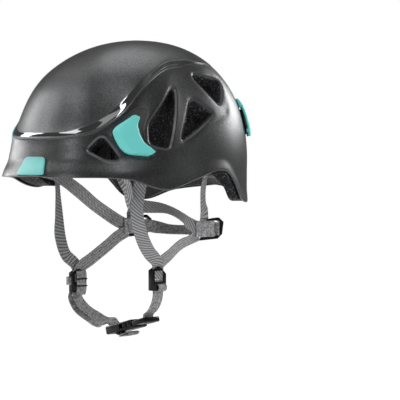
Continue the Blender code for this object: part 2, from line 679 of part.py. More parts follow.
# The direction of the headband's width at each bend: outward, back and up
headband_sides = {
    "left": (
        (0.2, 0.98, 0.0), (0.0, 0.85, 0.5), (0.0, 0.4, 0.9),
        (-0.35, 0.0, 0.94), (-0.65, 0.0, 0.76), (-0.55, 0.3, 0.78),
    ),
    "right": (
        (0.0, 0.75, 0.66), (0.0, 0.2, 0.98), (0.0, 0.3, 0.95),
        (-0.3, 0.0, 0.95), (-0.5, 0.0, 0.87), (-0.45, 0.3, 0.84),
    ),
}
for side, hand, at in ((1, "left", SLIDER_LEFT_AT), (-1, "right", SLIDER_RIGHT_AT)):
    x, y, z = at
    top = z + SLIDER_HEIGHT / 2
    under_anchor = ANCHOR_FRONT[2] - FIT_GAP
    angle = FRONT_STRAP_ANGLES[0 if side > 0 else 1]
    start = strap_start(angle, side, under_anchor)
    wall = along_wall(angle, side)
    route = [start, (start[0], start[1], start[2] - 0.006)]
    route += [(start[0] - side * 0.0030, start[1] - 0.0010, start[2] - 0.019)]
    route += [(x + side * out, y + back, z + up) for out, back, up in bends[hand]]
    route += [(x + side * (layer + 0.0004), y - 0.0022, top + 0.0050)]
    route += [(x + side * layer, y, top + 0.0006), (x + side * layer, y, z + 0.002)]
    add_webbing("front_strap_" + hand, route, [wall] * 3 + list(bend_sides[hand]) + [fore_aft] * 3)

    loop = (side * NAPE_LOOP_AT[0], NAPE_LOOP_AT[1], NAPE_LOOP_AT[2])
    seam = loop[1] - NAPE_LOOP_LENGTH / 2 - FIT_GAP
    inner_layer = loop[0] - side * 0.0013
    outer_layer = loop[0] + side * 0.0013
    route = [
        (x - side * layer, y, z + 0.002),
        (x - side * layer, y, top - 0.0050),
        (x - side * layer, y + 0.0011, top - 0.0011),
        (x - side * layer, y + 0.0036, top + 0.0016),
        (x - side * (layer + 0.0008), y + 0.0170, top + 0.0098),
        (side * 0.0560, (y + seam) / 2 + 0.0100, (z + loop[2]) / 2 + 0.0094),
        (inner_layer, seam - 0.0095, loop[2] - 0.0115),
        (inner_layer, seam - SEAM_GAP, loop[2] - 0.0080),
    ]
    sides = [fore_aft] * 2 + [(0, 0.96, -0.28), (0, 0.6, -0.8), (0, 0.58, -0.81), (0, 0.56, -0.83)]
    sides += [(0, 0.46, -0.89)] * 2
    add_webbing("rear_strap_" + hand, route, sides)

    start = strap_start(HEADBAND_STRAP_ANGLE, side, under_anchor)
    wall = along_wall(HEADBAND_STRAP_ANGLE, side)
    route = [start, (start[0], start[1], start[2] - 0.007)]
    route += [(side * (CAVITY_HALF_WIDTH - inward), back, up) for inward, back, up in headband_bends[hand]]
    route += [(outer_layer, seam - 0.0095, loop[2] + 0.0072)]
    route += [(outer_layer, seam - SEAM_GAP, loop[2] + 0.0036)]
    sides = [wall, wall] + [(lean * side, back, up) for lean, back, up in headband_sides[hand]]
    sides += [(-0.2 * side, 0.44, 0.88), (0, 0.46, 0.89)]
    add_webbing("headband_strap_" + hand, route, sides)

    start = strap_start(HANGER_STRAP_ANGLE, side, ANCHOR_REAR[2] - FIT_GAP)
    route = [
        start,
        (start[0], start[1], start[2] - 0.012),
        (side * 0.0640, 0.0535, -0.0220),
        (side * 0.0592, 0.0570, -0.0380),
        (loop[0], loop[1], loop[2] + NAPE_LOOP_HEIGHT / 2 + 0.006),
        (loop[0], loop[1], loop[2] + NAPE_LOOP_HEIGHT / 2 + FIT_GAP),
    ]
    wall = along_wall(HANGER_STRAP_ANGLE, side)
    add_webbing("hanger_strap_" + hand, route, [wall] * 6)

    half = np.array([NAPE_LOOP_DEPTH, NAPE_LOOP_LENGTH, NAPE_LOOP_HEIGHT]) / 2
    name = "nape_loop_" + hand
    bevelled(add_object(name, box_mesh(name, -half, half), parts, web_paint, loop), 0.0016)

    name = "nape_frame_" + hand
    frame_at = (loop[0], loop[1] + (NAPE_LOOP_LENGTH + NAPE_FRAME_LENGTH) / 2 + FIT_GAP, loop[2])
    half = np.array([NAPE_FRAME_DEPTH, NAPE_FRAME_LENGTH, NAPE_FRAME_HEIGHT]) / 2
    frame = add_object(name, box_mesh(name, -half, half), parts, black_paint, frame_at)
    bevelled(frame, 0.0010)
    hole = half - NAPE_FRAME_BAR
    hole[0] = NAPE_FRAME_DEPTH
    hole[2] = WEBBING_WIDTH / 2 + FIT_GAP
    middle = np.array(frame_at)
    cut(frame, add_cutter(name + " window", box_mesh(name + " window", middle - hole, middle + hole)))

frame_y = NAPE_LOOP_AT[1] + (NAPE_LOOP_LENGTH + NAPE_FRAME_LENGTH) / 2 + FIT_GAP
frame_x = NAPE_LOOP_AT[0]
route = [
    (-frame_x - 0.0045, frame_y, NAPE_LOOP_AT[2]), (-frame_x + 0.004, frame_y + 0.0003, NAPE_LOOP_AT[2]),
    (-frame_x * 0.5, frame_y + NAPE_BULGE * 0.75, NAPE_LOOP_AT[2]),
    (0.0, frame_y + NAPE_BULGE, NAPE_LOOP_AT[2]),
    (frame_x * 0.5, frame_y + NAPE_BULGE * 0.75, NAPE_LOOP_AT[2]),
    (frame_x - 0.004, frame_y + 0.0003, NAPE_LOOP_AT[2]), (frame_x + 0.0045, frame_y, NAPE_LOOP_AT[2]),
]
leaning = (0.0, 0.6, 0.8)
add_webbing("nape_strap", route, [upright] * 2 + [leaning] * 3 + [upright] * 2)

# Chin buckle, built along its own axis and then tilted
tilt = math.radians(BUCKLE_TILT)
axis_along = np.array([math.cos(tilt), 0.0, math.sin(tilt)])
axis_up = np.array([-math.sin(tilt), 0.0, math.cos(tilt)])


def buckle_place(along, across, up):
    return tuple(np.array(BUCKLE_AT) + along * axis_along + across * np.array([0, 1, 0]) + up * axis_up)


def tilted(item, at=(0.0, 0.0, 0.0)):
    item.location = buckle_place(*at)
    item.rotation_euler = (0.0, -tilt, 0.0)
    return item


def buckle_box(name, low, high, cutter=False):
    mesh = box_mesh(name, low, high)
    if cutter:
        return tilted(add_cutter(name, mesh))
    return tilted(add_object(name, mesh, parts, black_paint))


half_width = BUCKLE_WIDTH / 2
half_depth = BUCKLE_DEPTH / 2
slot_half = (WEBBING_WIDTH + SLIDER_SLOT_CLEARANCE) / 2
inside = TONGUE_THICKNESS / 2 + FIT_GAP
socket = buckle_box(
    "buckle_socket", (SOCKET_START, -half_width, -half_depth), (SOCKET_END, half_width, half_depth)
)
bevelled(socket, 0.0016)
cavity_low = (SOCKET_END - SOCKET_CAVITY_DEPTH, -half_width + SOCKET_WALL, -inside)
cavity_high = (SOCKET_END + 0.01, half_width - SOCKET_WALL, inside)
cut(socket, buckle_box("socket cavity", cavity_low, cavity_high, True))
window_low = (WINDOW_START, -half_width - 0.005, -inside)
window_high = (WINDOW_END, half_width + 0.005, inside)
cut(socket, buckle_box("socket windows", window_low, window_high, True))
adjuster_places = (SOCKET_START + 0.0026, SOCKET_START + 0.0084)
for number, place in enumerate(adjuster_places):
    low = (place, -slot_half, -0.01)
    high = (place + ADJUSTER_SLOT, slot_half, 0.01)
    cut(socket, buckle_box(f"adjuster slot {number}", low, high, True))

base_half = TONGUE_THICKNESS / 2 + 0.0006
tongue = buckle_box(
    "buckle_tongue", (TONGUE_BASE_START, -half_width, -base_half), (TONGUE_BASE_END, half_width, base_half)
)
bevelled(tongue, 0.0012)
guide_low = (TONGUE_BASE_START - GUIDE_LENGTH, -GUIDE_WIDTH / 2, -TONGUE_THICKNESS / 2)
guide_high = (TONGUE_BASE_START + 0.004, GUIDE_WIDTH / 2, TONGUE_THICKNESS / 2)
cut(tongue, buckle_box("tongue guide", guide_low, guide_high, True), "UNION")
slot_end = TONGUE_BASE_END - 0.0028
slot_low = (slot_end - TONGUE_SLOT, -slot_half, -0.01)
slot_high = (slot_end, slot_half, 0.01)
cut(tongue, buckle_box("tongue slot", slot_low, slot_high, True))


def prong(name, side):
    """One springy arm: its shoulder catches behind the end of the socket's window."""
    root = TONGUE_BASE_START - FIT_GAP
    tip = root - PRONG_LENGTH
    near = GUIDE_WIDTH / 2 + PRONG_GAP
    far = near + PRONG_WIDTH
    shoulder = WINDOW_END - PRONG_CATCH_PLAY
    catch = half_width - SOCKET_WALL + PRONG_CATCH
    outline = (
        (root, near), (root, far), (shoulder, far), (shoulder, catch),
        (shoulder - BUTTON_LENGTH, half_width + BUTTON_PROUD),
        (tip, far - PRONG_TIP_TAPER / 2), (tip, near + PRONG_TIP_TAPER),
    )
    pivot = (root, (near + far) / 2 * side, 0.0)
    outline = np.array(outline) * (1, side) - np.array(pivot[:2])
    level = np.full((len(outline), 1), TONGUE_THICKNESS / 2)
    sections = np.stack([np.hstack([outline, -level]), np.hstack([outline, level])])
    return tilted(add_object(name, carried(name, sections), parts, black_paint), pivot)


prong("buckle_prong_front", -1)
prong("buckle_prong_rear", 1)

slot_middle = slot_end - TONGUE_SLOT / 2
x, y, z = SLIDER_LEFT_AT
route = [
    (x + layer, y, z - 0.0015),
    (x + layer, y, z - SLIDER_HEIGHT / 2 - 0.0006),
    (x + layer, y, z - SLIDER_HEIGHT / 2 - 0.0036),
    (x - 0.0005, y - 0.0003, z - 0.0225),
    (x - 0.0070, BUCKLE_AT[1], z - 0.0325),
    buckle_place(slot_middle + 0.0004, 0, 0.0050),
    buckle_place(slot_middle, 0, -0.0010),
]
add_webbing("chin_strap_left", route, [fore_aft] * 7)
x, y, z = SLIDER_RIGHT_AT
slot_middle = adjuster_places[0] + ADJUSTER_SLOT / 2
route = [
    (x - layer, y, z - 0.0015),
    (x - layer, y, z - SLIDER_HEIGHT / 2 - 0.0006),
    (x - layer, y, z - SLIDER_HEIGHT / 2 - 0.0036),
    (x + 0.0065, y + 0.001, z - 0.0250),
    (x + 0.0250, BUCKLE_AT[1] + 0.001, z - 0.0350),
    (x + 0.0420, BUCKLE_AT[1], z - 0.0400),
    buckle_place(slot_middle - 0.0060, 0, 0.0100),
    buckle_place(slot_middle - 0.0012, 0, 0.0070),
    buckle_place(slot_middle, 0, 0.0035),
    buckle_place(slot_middle, 0, -0.0012),
]
add_webbing("chin_strap_right", route, [fore_aft] * 10)
slot_middle = adjuster_places[1] + ADJUSTER_SLOT / 2
route = [
    buckle_place(slot_middle, 0, 0.0010), buckle_place(slot_middle, 0, -0.0045),
    buckle_place(slot_middle + 0.0030, 0, -0.0066), buckle_place(slot_middle + 0.0120, 0, -0.0072),
    buckle_place(slot_middle + 0.0200, 0, -0.0070),
]
add_webbing("strap_tail", route, [fore_aft] * 5)
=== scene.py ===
import math
import bmesh
import bpy
import numpy as np
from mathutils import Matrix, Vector


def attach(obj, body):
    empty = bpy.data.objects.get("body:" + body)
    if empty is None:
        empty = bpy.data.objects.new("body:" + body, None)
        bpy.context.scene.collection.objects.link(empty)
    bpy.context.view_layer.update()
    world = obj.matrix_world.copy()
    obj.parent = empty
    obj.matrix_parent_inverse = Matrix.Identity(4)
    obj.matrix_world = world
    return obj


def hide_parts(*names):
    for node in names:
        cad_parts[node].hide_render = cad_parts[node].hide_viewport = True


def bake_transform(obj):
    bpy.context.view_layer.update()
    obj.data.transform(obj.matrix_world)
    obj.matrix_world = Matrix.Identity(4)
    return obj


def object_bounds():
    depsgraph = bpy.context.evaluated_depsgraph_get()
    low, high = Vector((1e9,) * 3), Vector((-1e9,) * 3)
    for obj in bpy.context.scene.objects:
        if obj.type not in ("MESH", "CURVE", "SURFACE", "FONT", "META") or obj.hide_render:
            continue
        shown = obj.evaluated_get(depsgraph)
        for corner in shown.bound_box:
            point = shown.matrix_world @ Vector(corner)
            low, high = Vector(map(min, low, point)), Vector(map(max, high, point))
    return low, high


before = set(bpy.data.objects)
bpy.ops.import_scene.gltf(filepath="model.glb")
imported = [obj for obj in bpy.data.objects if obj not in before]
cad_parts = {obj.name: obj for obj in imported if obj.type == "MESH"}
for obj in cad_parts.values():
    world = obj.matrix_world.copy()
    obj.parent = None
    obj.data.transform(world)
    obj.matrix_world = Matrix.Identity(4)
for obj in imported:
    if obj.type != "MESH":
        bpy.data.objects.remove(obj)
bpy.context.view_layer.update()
hands = ((1, "left"), (-1, "right"))


# shader sums: a socket in a wrapper, where an operator adds a Math node
class Wire:
    def __init__(self, tree, socket=None):
        self.tree, self.socket = tree, socket

    # any node: its type, its settings first, then the values or links of its sockets
    def node(self, kind, settings=None, sockets=None, output=0):
        made = self.tree.nodes.new("ShaderNode" + kind)
        for key, value in (settings or {}).items():
            setattr(made, key, value)
        for key, value in (sockets or {}).items():
            self.plug(value, made.inputs[key])
        return Wire(self.tree, made.outputs[output])

    def plug(self, value, socket):
        if isinstance(value, Wire):
            self.tree.links.new(value.socket, socket)
        else:
            socket.default_value = (*value, 1.0) if socket.type == "RGBA" else value

    def math(self, operation, first, second=0.0, clamp=False):
        return self.node("Math", {"operation": operation, "use_clamp": clamp}, {0: first, 1: second})

    def __add__(self, other):
        return self.math("ADD", self, other)

    def __sub__(self, other):
        return self.math("SUBTRACT", self, other)

    def __rsub__(self, other):
        return self.math("SUBTRACT", other, self)

    def __mul__(self, other):
        return self.math("MULTIPLY", self, other)

    __radd__, __rmul__ = __add__, __mul__

    def clipped(self):
        return self.math("ADD", self, 0.0, True)

    def wave(self):  # its sine, moved to between 0 and 1
        return self.math("SINE", self) * 0.5 + 0.5

    def mix(self, share, first, second):
        return self.node("Mix", {"data_type": "RGBA"}, {0: share, 6: first, 7: second}, 2)

    def mask(self, name):
        return self.node("Attribute", {"attribute_name": name}, output="Fac")

    def texture(self, kind, settings, sockets, output):
        spot = self.node("TexCoord", output="Object")
        return self.node("Tex" + kind, settings, {"Vector": spot, **sockets}, output)

    def noise(self, scale, detail=2.0):
        return self.texture("Noise", None, {"Scale": scale, "Detail": detail}, "Fac")

    def cells(self, scale, feature="F1"):
        return self.texture("Voronoi", {"feature": feature}, {"Scale": scale}, "Distance")

    def bump(self, height, strength, distance):
        return self.node("Bump", None, {"Height": height, "Strength": strength, "Distance": distance})


def newMaterial(name):
    material = bpy.data.materials.new(name)
    material.use_nodes = True
    return material, Wire(material.node_tree)


def dressed(material, looks):  # values and links for the sockets of its shader
    shader = material.node_tree.nodes["Principled BSDF"]
    for key, value in looks.items():
        Wire(material.node_tree).plug(value, shader.inputs[key])
    return material


def scaled(colour, share):
    return tuple(share * part for part in colour)


# shapes
def smooth(value):  # 3x^2 - 2x^3 between 0 and 1
    value = np.clip(value, 0.0, 1.0)
    return value * value * (3.0 - 2.0 * value)


def fade(value, span):  # from 0 at the span's start to 1 at its width beyond
    start, over = span
    return smooth((value - start) / over)


def softRamp(value, round_):  # 0 below 0, 1 above 1, straight between, with both bends rounded
    return (np.hypot(value, round_) - np.hypot(value - 1.0, round_) + 1.0) / 2.0


def gridQuads(rows, columns, around=False):  # four corners of each cell of a grid
    row = np.arange(rows - 1)[:, None]
    column = np.arange(columns if around else columns - 1)[None]
    first = row * columns + column
    after = row * columns + (column + 1) % columns
    return np.stack([first, after, after + columns, first + columns], -1).reshape(-1, 4)


def stripQuads(index):  # cells between rows of point numbers, closed around
    after = np.roll(index, -1, axis=1)
    return np.stack([index[:-1], after[:-1], after[1:], index[1:]], -1).reshape(-1, 4)


meshForm = {"sharp": 35.0, "weld": 1e-7, "thin": 1e-8}


# a mesh of quads: charts and masks by point, doubles joined, smooth but for its sharp edges
def addPiece(name, points, quads, material, uv=None, masks=None, sharp=meshForm["sharp"]):
    mesh = bpy.data.meshes.new(name)
    points = np.ascontiguousarray(points.reshape(-1, 3), np.float32)
    quads = np.ascontiguousarray(quads, np.int32)
    mesh.vertices.add(len(points))
    mesh.vertices.foreach_set("co", points.ravel())
    mesh.loops.add(quads.size)
    mesh.loops.foreach_set("vertex_index", quads.ravel())
    mesh.polygons.add(len(quads))
    mesh.polygons.foreach_set("loop_start", np.arange(len(quads), dtype=np.int32) * 4)
    mesh.update(calc_edges=True)
    if uv is not None:
        layer = mesh.uv_layers.new(name="Along")
        layer.data.foreach_set("uv", uv.reshape(-1, 2)[quads.ravel()].astype(np.float32).ravel())
    for key, values in (masks or {}).items():
        layer = mesh.attributes.new(key, "FLOAT", "POINT")
        layer.data.foreach_set("value", values.astype(np.float32).ravel())
    build = bmesh.new()
    build.from_mesh(mesh)
    bmesh.ops.remove_doubles(build, verts=build.verts, dist=meshForm["weld"])
    bmesh.ops.dissolve_degenerate(build, edges=build.edges, dist=meshForm["thin"])
    bmesh.ops.recalc_face_normals(build, faces=build.faces)
    build.to_mesh(mesh)
    build.free()
    mesh.shade_smooth()
    mesh.set_sharp_from_angle(angle=math.radians(sharp))
    mesh.materials.append(material)
    piece = bpy.data.objects.new(name, mesh)
    bpy.context.scene.collection.objects.link(piece)
    return piece


def place(piece, body, slot, *nodes):  # rides on a body and stands for its solids
    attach(piece, body)
    if nodes:
        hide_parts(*nodes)
    return piece


# curves through points: they never swing past them, or where they may they run freer
def curveAt(places, points, wanted, freer=False):
    points = np.asarray(points, float)
    steps = np.diff(places)[:, None]
    rates = np.diff(points, axis=0) / steps
    before, after = rates[:-1], rates[1:]
    same = before * after > 0
    middle = np.where(same, 2.0 * before * after / np.where(same, before + after, 1.0), 0.0)
    if freer:
        middle = (before * steps[1:] + after * steps[:-1]) / (steps[1:] + steps[:-1])
    slopes = np.concatenate([rates[:1], middle, rates[-1:]])
    index = np.clip(np.searchsorted(places, wanted, side="right") - 1, 0, len(places) - 2)
    span = (places[index + 1] - places[index])[:, None]
    part = (wanted - places[index])[:, None] / span
    rest = 1.0 - part
    found = points[index] * rest**2 * (1 + 2 * part) + points[index + 1] * part**2 * (3 - 2 * part)
    return found + span * part * rest * (slopes[index] * rest - slopes[index + 1] * part)


def lengthsAlong(points):
    steps = np.linalg.norm(np.diff(np.asarray(points, float), axis=0), axis=1)
    return np.concatenate([[0.0], np.cumsum(steps)])


def cornersCut(corners, times, share):  # each corner of a closed outline cut again and again
    corners = np.asarray(corners, float)
    for _ in range(times):
        following = np.roll(corners, -1, axis=0)
        first = (1 - share) * corners + share * following
        second = share * corners + (1 - share) * following
        corners = np.stack([first, second], 1).reshape(-1, corners.shape[1])
    return corners


# distance to a closed outline (minus inside), the nearest point on it, the way out from it
# and how far round it that point is
def nearestOn(outline, spots):
    ahead = np.roll(outline, -1, axis=0) - outline
    away = spots[:, None] - outline[None]
    part = np.clip((away * ahead).sum(-1) / (ahead**2).sum(-1), 0.0, 1.0)
    foot = outline[None] + ahead[None] * part[..., None]
    gap = np.linalg.norm(spots[:, None] - foot, axis=-1)
    best = gap.argmin(axis=1)
    number = np.arange(len(spots))
    foot, gap = foot[number, best], gap[number, best]
    round_ = best + part[number, best]
    start, finish = outline[None], np.roll(outline, -1, axis=0)[None]
    spot = spots[:, None]
    crosses = (start[..., 1] > spot[..., 1]) != (finish[..., 1] > spot[..., 1])
    rise = np.where(crosses, finish[..., 1] - start[..., 1], 1.0)
    level = start[..., 0] + (spot[..., 1] - start[..., 1]) * (finish[..., 0] - start[..., 0]) / rise
    inside = (crosses & (spot[..., 0] < level)).sum(axis=1) % 2 == 1
    sign = np.where(inside, -1.0, 1.0)
    out = (spots - foot) / np.maximum(gap, 1e-9)[:, None] * sign[:, None]
    return gap * sign, foot, out, round_


def turningWay(outline):  # 1 for an outline that runs to the left, -1 to the right
    following = np.roll(outline, -1, axis=0)
    return np.sign((outline[:, 0] * following[:, 1] - outline[:, 1] * following[:, 0]).sum())


# the points round a patch of cells of a closed grid, in the order of a walk with the patch on one side:
# each point's steps left to the walk's end, found by jumps that double
def borderWalk(patch):
    columns = patch.shape[1]
    row, column = np.nonzero(patch)
    after = (column + 1) % columns
    framed = np.pad(patch, ((1, 1), (0, 0)))
    corners = np.stack([row * columns + column, row * columns + after,
                        (row + 1) * columns + after, (row + 1) * columns + column])
    beyond = np.stack([framed[row, column], framed[row + 1, after], framed[row + 2, column],
                       framed[row + 1, column - 1]])
    starts, ends = corners[~beyond], np.roll(corners, -1, axis=0)[~beyond]
    border = np.unique(starts)
    jump = np.empty(len(border), int)
    jump[np.searchsorted(border, starts)] = np.searchsorted(border, ends)
    last = np.flatnonzero(jump == 0)
    left = np.ones(len(border), int)
    jump[last], left[last] = last, 0
    for _ in range(len(border).bit_length()):
        left, jump = left + left[jump], jump[jump]
    return border[np.argsort(-left)]


holeForm = {"band": 0.008, "far": 1.0}


# a wall between two faces on one grid of (p, q), with rounded ends and holes:
# a hole takes out the cells inside its outline, pulls the points around it onto the outline,
# and joins the two faces by rows at the distances and depths of its profile
def walledSurface(at, p, q, wall, holes, foot):
    p, q = p.copy(), q.copy()
    rows, columns = p.shape
    count = rows * columns
    keep = np.ones((rows - 1, columns), bool)
    loops = []
    for hole in holes:
        chart = hole["chart"]
        flat = chart.toFlat(p, q)
        reach = np.abs(chart.outline).max(axis=0) + holeForm["band"]
        near = (np.abs(flat) < reach).all(axis=-1)
        distance = np.full(p.shape, holeForm["far"])
        distance[near] = nearestOn(chart.outline, flat[near])[0]
        inside = distance < hole["cut"] - hole["slack"]
        gone = inside[:-1] | inside[1:]
        gone = gone | np.roll(gone, -1, axis=1)
        border = borderWalk(gone)
        around = flat.reshape(-1, 2)[border]
        foots, outs, round_ = nearestOn(chart.outline, around)[1:]
        round_ = round_ * turningWay(around) * turningWay(chart.outline)
        first = round_.argmin()
        rings = (border, foots, outs, round_)
        border, foots, outs, round_ = (np.roll(ring, -first, axis=0) for ring in rings)
        order = np.argsort(round_, kind="stable")
        foots, outs = foots[order], outs[order]
        p.ravel()[border], q.ravel()[border] = chart.fromFlat(foots + outs * hole["cut"])
        keep &= ~gone
        loops.append((hole, border, foots, outs))
    nothing = np.zeros_like(p)
    points = [at(p, q, nothing).reshape(-1, 3), at(p, q, nothing + wall).reshape(-1, 3)]
    sides, levels = [p.ravel()] * 2, [q.ravel()] * 2
    ringed = [np.zeros(count)] * 2
    cells = gridQuads(rows, columns, True)[keep.ravel()]
    quads = [cells, cells[:, ::-1] + count]
    total = 2 * count

    def bridge(first, newP, newQ, depth, ring):
        nonlocal total
        depth = np.broadcast_to(depth, newP.shape)
        middle = total + np.arange(newP.size).reshape(newP.shape)
        points.append(at(newP, newQ, depth).reshape(-1, 3))
        sides.append(newP.ravel())
        levels.append(newQ.ravel())
        ringed.append(np.full(newP.size, ring))
        quads.append(stripQuads(np.concatenate([first[None], middle, first[None] + count])))
        total += middle.size

    for hole, border, foots, outs in loops:
        profile = np.array(hole["profile"])
        newP, newQ = hole["chart"].fromFlat(foots[None] + outs[None] * profile[:, 0, None, None])
        bridge(border, newP, newQ, profile[:, 1, None], 1.0)
    foot = np.array(foot)
    newP = np.broadcast_to(p[0], (len(foot), columns))
    bridge(np.arange(columns), newP, q[0] + foot[:, :1], foot[:, 1:], 0.0)
    return [np.concatenate(each) for each in (points, quads, sides, levels, ringed)]


# the shell: oval sections under a rounded profile, moved out and in along its facing;
# a fade is the place where it starts and the width it takes
shellForm = {
    "halfLength": 0.128, "halfWidth": 0.106, "height": 0.133, "wall": 0.0020,
    "profilePower": 2.15, "planPower": 2.35, "planPowerFront": 2.6, "frontShorter": 0.0047,
    "backAtRim": 0.003, "backAtTop": 0.017, "backPower": 1.3,
    "foreFade": (-0.25, 0.9), "browFade": (0.2, 0.7), "rearFade": (0.1, 0.7),
    "browPullIn": 0.0060, "hollowFoot": (-0.008, 0.022), "hollowTop": (0.044, 0.058),
    "step": 0.0045, "stepRear": 0.0003, "stepFade": (38.0, 20.0), "stepRearFade": (0.0, 0.65),
    "stepRound": 0.13, "browLip": (-0.004, 0.026), "shoulder": 0.0013, "shoulderWidth": 0.006,
    "lipHeight": 0.012, "lipFlare": 0.0026, "lipStraight": 0.45, "lipRear": 0.7, "softAngle": 3.0,
    "beadHeight": 0.00055, "beadBelow": 0.0018, "beadWidth": 0.0009, "beadFade": (95.0, 30.0),
    "fieldDepth": 0.0014, "fieldEdge": 0.007, "fieldStart": (70.0, 16.0), "fieldEnd": (118.0, 9.0),
    "fieldTop": (-0.016, 0.014), "recessDepth": 0.0010, "recessGlossAndShade": 0.55,
    "columns": 400, "rows": (8, 34, 30, 34), "rimLift": 0.0008, "stepMargins": (0.0045, 0.0025),
    "bandStart": (-0.06, 0.1), "bandEnd": (0.98, 0.1), "glossFade": (53.0, 10.0), "paintedShadeFade": (66.0, 30.0),
    "ringGloss": 0.35, "ringPaintedShade": 0.8, "sharp": 50.0,
}
rimLine = (
    (0, 17, 37, 52, 58, 67, 72, 80, 94, 109, 114, 120, 131, 140, 155, 180),
    (-0.0045, -0.006, -0.006, -0.008, -0.0125, -0.0175, -0.0185, -0.0145,
     -0.0065, 0.001, 0.0, -0.009, -0.031, -0.033, -0.022, -0.016),
)
stepTurns = (0, 16, 31, 38.5, 46.5, 54, 69, 80, 102, 120, 180)
footLine = (stepTurns, (0.0345, 0.035, 0.039, 0.0465, 0.059, 0.081, 0.1015, 0.1075, 0.110, 0.108, 0.106))
edgeLine = (stepTurns, (0.0385, 0.039, 0.047, 0.056, 0.0725, 0.0885, 0.1043, 0.1096, 0.1117, 0.1096, 0.1075))
fieldLine = ((60, 73, 98, 109, 120, 125, 128), (-0.006, 0.012, 0.0385, 0.044, 0.053, 0.064, 0.115))
# corners of the outlines: degrees from the front, and height
ventOutlines = {
    "temple": ((31, 0.0225), (35.8, 0.0334), (38.8, 0.0332), (46.9, 0.0138), (45.8, 0.0115),
               (40.8, 0.0112), (32.1, 0.0196)),
    "tall": ((76, 0.0842), (80.4, 0.0828), (73.6, 0.0240), (71.6, 0.0228), (66.9, 0.0243),
             (61.8, 0.0279), (60.9, 0.0460), (62.8, 0.0540)),
    "middle": ((91.0, 0.0766), (107.7, 0.0588), (107.0, 0.0568), (83.6, 0.0310), (81.5, 0.0335)),
    "upper": ((100.9, 0.0962), (104.0, 0.1005), (126.7, 0.0925), (126.6, 0.0888), (117.0, 0.0686),
              (114.0, 0.0677)),
}
recessOutline = (
    (50.0, 0.0590), (54.5, 0.0650), (60.3, 0.0605), (58.6, 0.050), (57.4, 0.042), (58.8, 0.0315),
    (63.2, 0.0215), (64.6, 0.018), (61.5, 0.0130), (53.5, 0.0135), (47.5, 0.0205), (43.6, 0.0310),
    (41.2, 0.0395), (42.4, 0.0460),
)
cornerCuts = {"vent": 0.17, "recess": 0.2}
softSteps = ((-1.0, 0.12), (-0.5, 0.23), (0.0, 0.30), (0.5, 0.23), (1.0, 0.12))


def turnOf(angle):  # degrees from the front, either side
    return np.degrees(np.abs((angle + np.pi) % (2 * np.pi) - np.pi))


def byAngle(angle, line):  # a height read by the angle from the front: a curve through its corners, softened
    places, heights = np.array(line[0], float), np.array(line[1], float)[:, None]
    turn = turnOf(angle)
    found = 0.0
    for step, weight in softSteps:
        shifted = np.abs(turn + step * shellForm["softAngle"])
        shifted = np.where(shifted > 180, 360 - shifted, shifted)
        found = found + weight * curveAt(places, heights, shifted.ravel())[:, 0].reshape(turn.shape)
    return found


# radius by angle (|sin|/width)^k + (|cos|/length)^k, drawn in with height, and the way it faces;
# the front half is shorter and blunter than the rear
def dome(angle, height, form):
    angle = np.asarray(angle, float)
    height = np.asarray(height, float) + 0 * angle
    sine, cosine = np.sin(angle), np.cos(angle)
    rising, halfWidth = shellForm["profilePower"], form["halfWidth"]
    power = np.where(cosine > 0, shellForm["planPowerFront"], shellForm["planPower"])
    halfLength = form["halfLength"] - np.where(cosine > 0, shellForm["frontShorter"], 0.0)
    share = np.clip(height / form["height"], 0.0, 1.0)
    reach = (1.0 - share**rising) ** (1.0 / rising)
    plan = (np.abs(sine) / halfWidth) ** power + (np.abs(cosine) / halfLength) ** power
    radius = reach * plan ** (-1.0 / power)
    back = form["backAtRim"] + form["backAtTop"] * share ** shellForm["backPower"]
    points = np.stack([radius * sine, back - radius * cosine, height], -1)
    side = np.sign(sine) * np.abs(sine) ** (power - 1) / halfWidth**power
    fore = -np.sign(cosine) * np.abs(cosine) ** (power - 1) / halfLength**power
    level = np.hypot(side, fore)
    outward = reach ** (rising - 1) / halfWidth
    upward = share ** (rising - 1) / form["height"]
    facing = np.stack([outward * side / level, outward * fore / level, upward], -1)
    return points, facing / np.linalg.norm(facing, axis=-1, keepdims=True)


def stepShare(angle, height):  # 0 at the foot of the crown panel's step, 1 at its edge
    foot = byAngle(angle, footLine)
    return (height - foot) / (byAngle(angle, edgeLine) - foot)


# how far the dome moves out: less in the brow's hollow and under the step, more at its shoulder and the lip
def shellMoved(angle, height):
    form = shellForm
    cosine = np.cos(angle)
    fore, brow = fade(cosine, form["foreFade"]), fade(cosine, form["browFade"])
    raised = softRamp(stepShare(angle, height), form["stepRound"])
    step = form["step"] * fade(turnOf(angle), form["stepFade"])
    step = step + (form["stepRear"] - step) * fade(-cosine, form["stepRearFade"])
    hollow = fade(height, form["hollowFoot"]) * (1.0 - fade(height, form["hollowTop"]))
    moved = -form["browPullIn"] * brow * hollow
    moved = moved - step * (1.0 - raised) * (1.0 - fore * (1.0 - fade(height, form["browLip"])))
    below = (height - byAngle(angle, footLine)) / form["shoulderWidth"]
    moved = moved + form["shoulder"] * brow * np.exp(-below**2)
    above = np.clip((height - byAngle(angle, rimLine)) / form["lipHeight"], 0.0, 1.0)
    lip = form["lipStraight"] * (1.0 - above) + (1.0 - form["lipStraight"]) * (1.0 - smooth(above))
    rear = 1.0 - form["lipRear"] * fade(-cosine, form["rearFade"])
    return moved + form["lipFlare"] * (1.0 - fore) * rear * lip


def shellFinish(angle, height):  # the bead under the step, less the sunk field round the vents
    form = shellForm
    turn = turnOf(angle)
    above = height - byAngle(angle, footLine)
    below = (above + form["beadBelow"]) / form["beadWidth"]
    bead = form["beadHeight"] * np.exp(-below**2) * (1.0 - fade(turn, form["beadFade"]))
    field = smooth((height - np.interp(turn, *fieldLine)) / form["fieldEdge"])
    field = field * fade(turn, form["fieldStart"]) * (1.0 - fade(turn, form["fieldEnd"]))
    return bead - form["fieldDepth"] * field * (1.0 - fade(above, form["fieldTop"]))


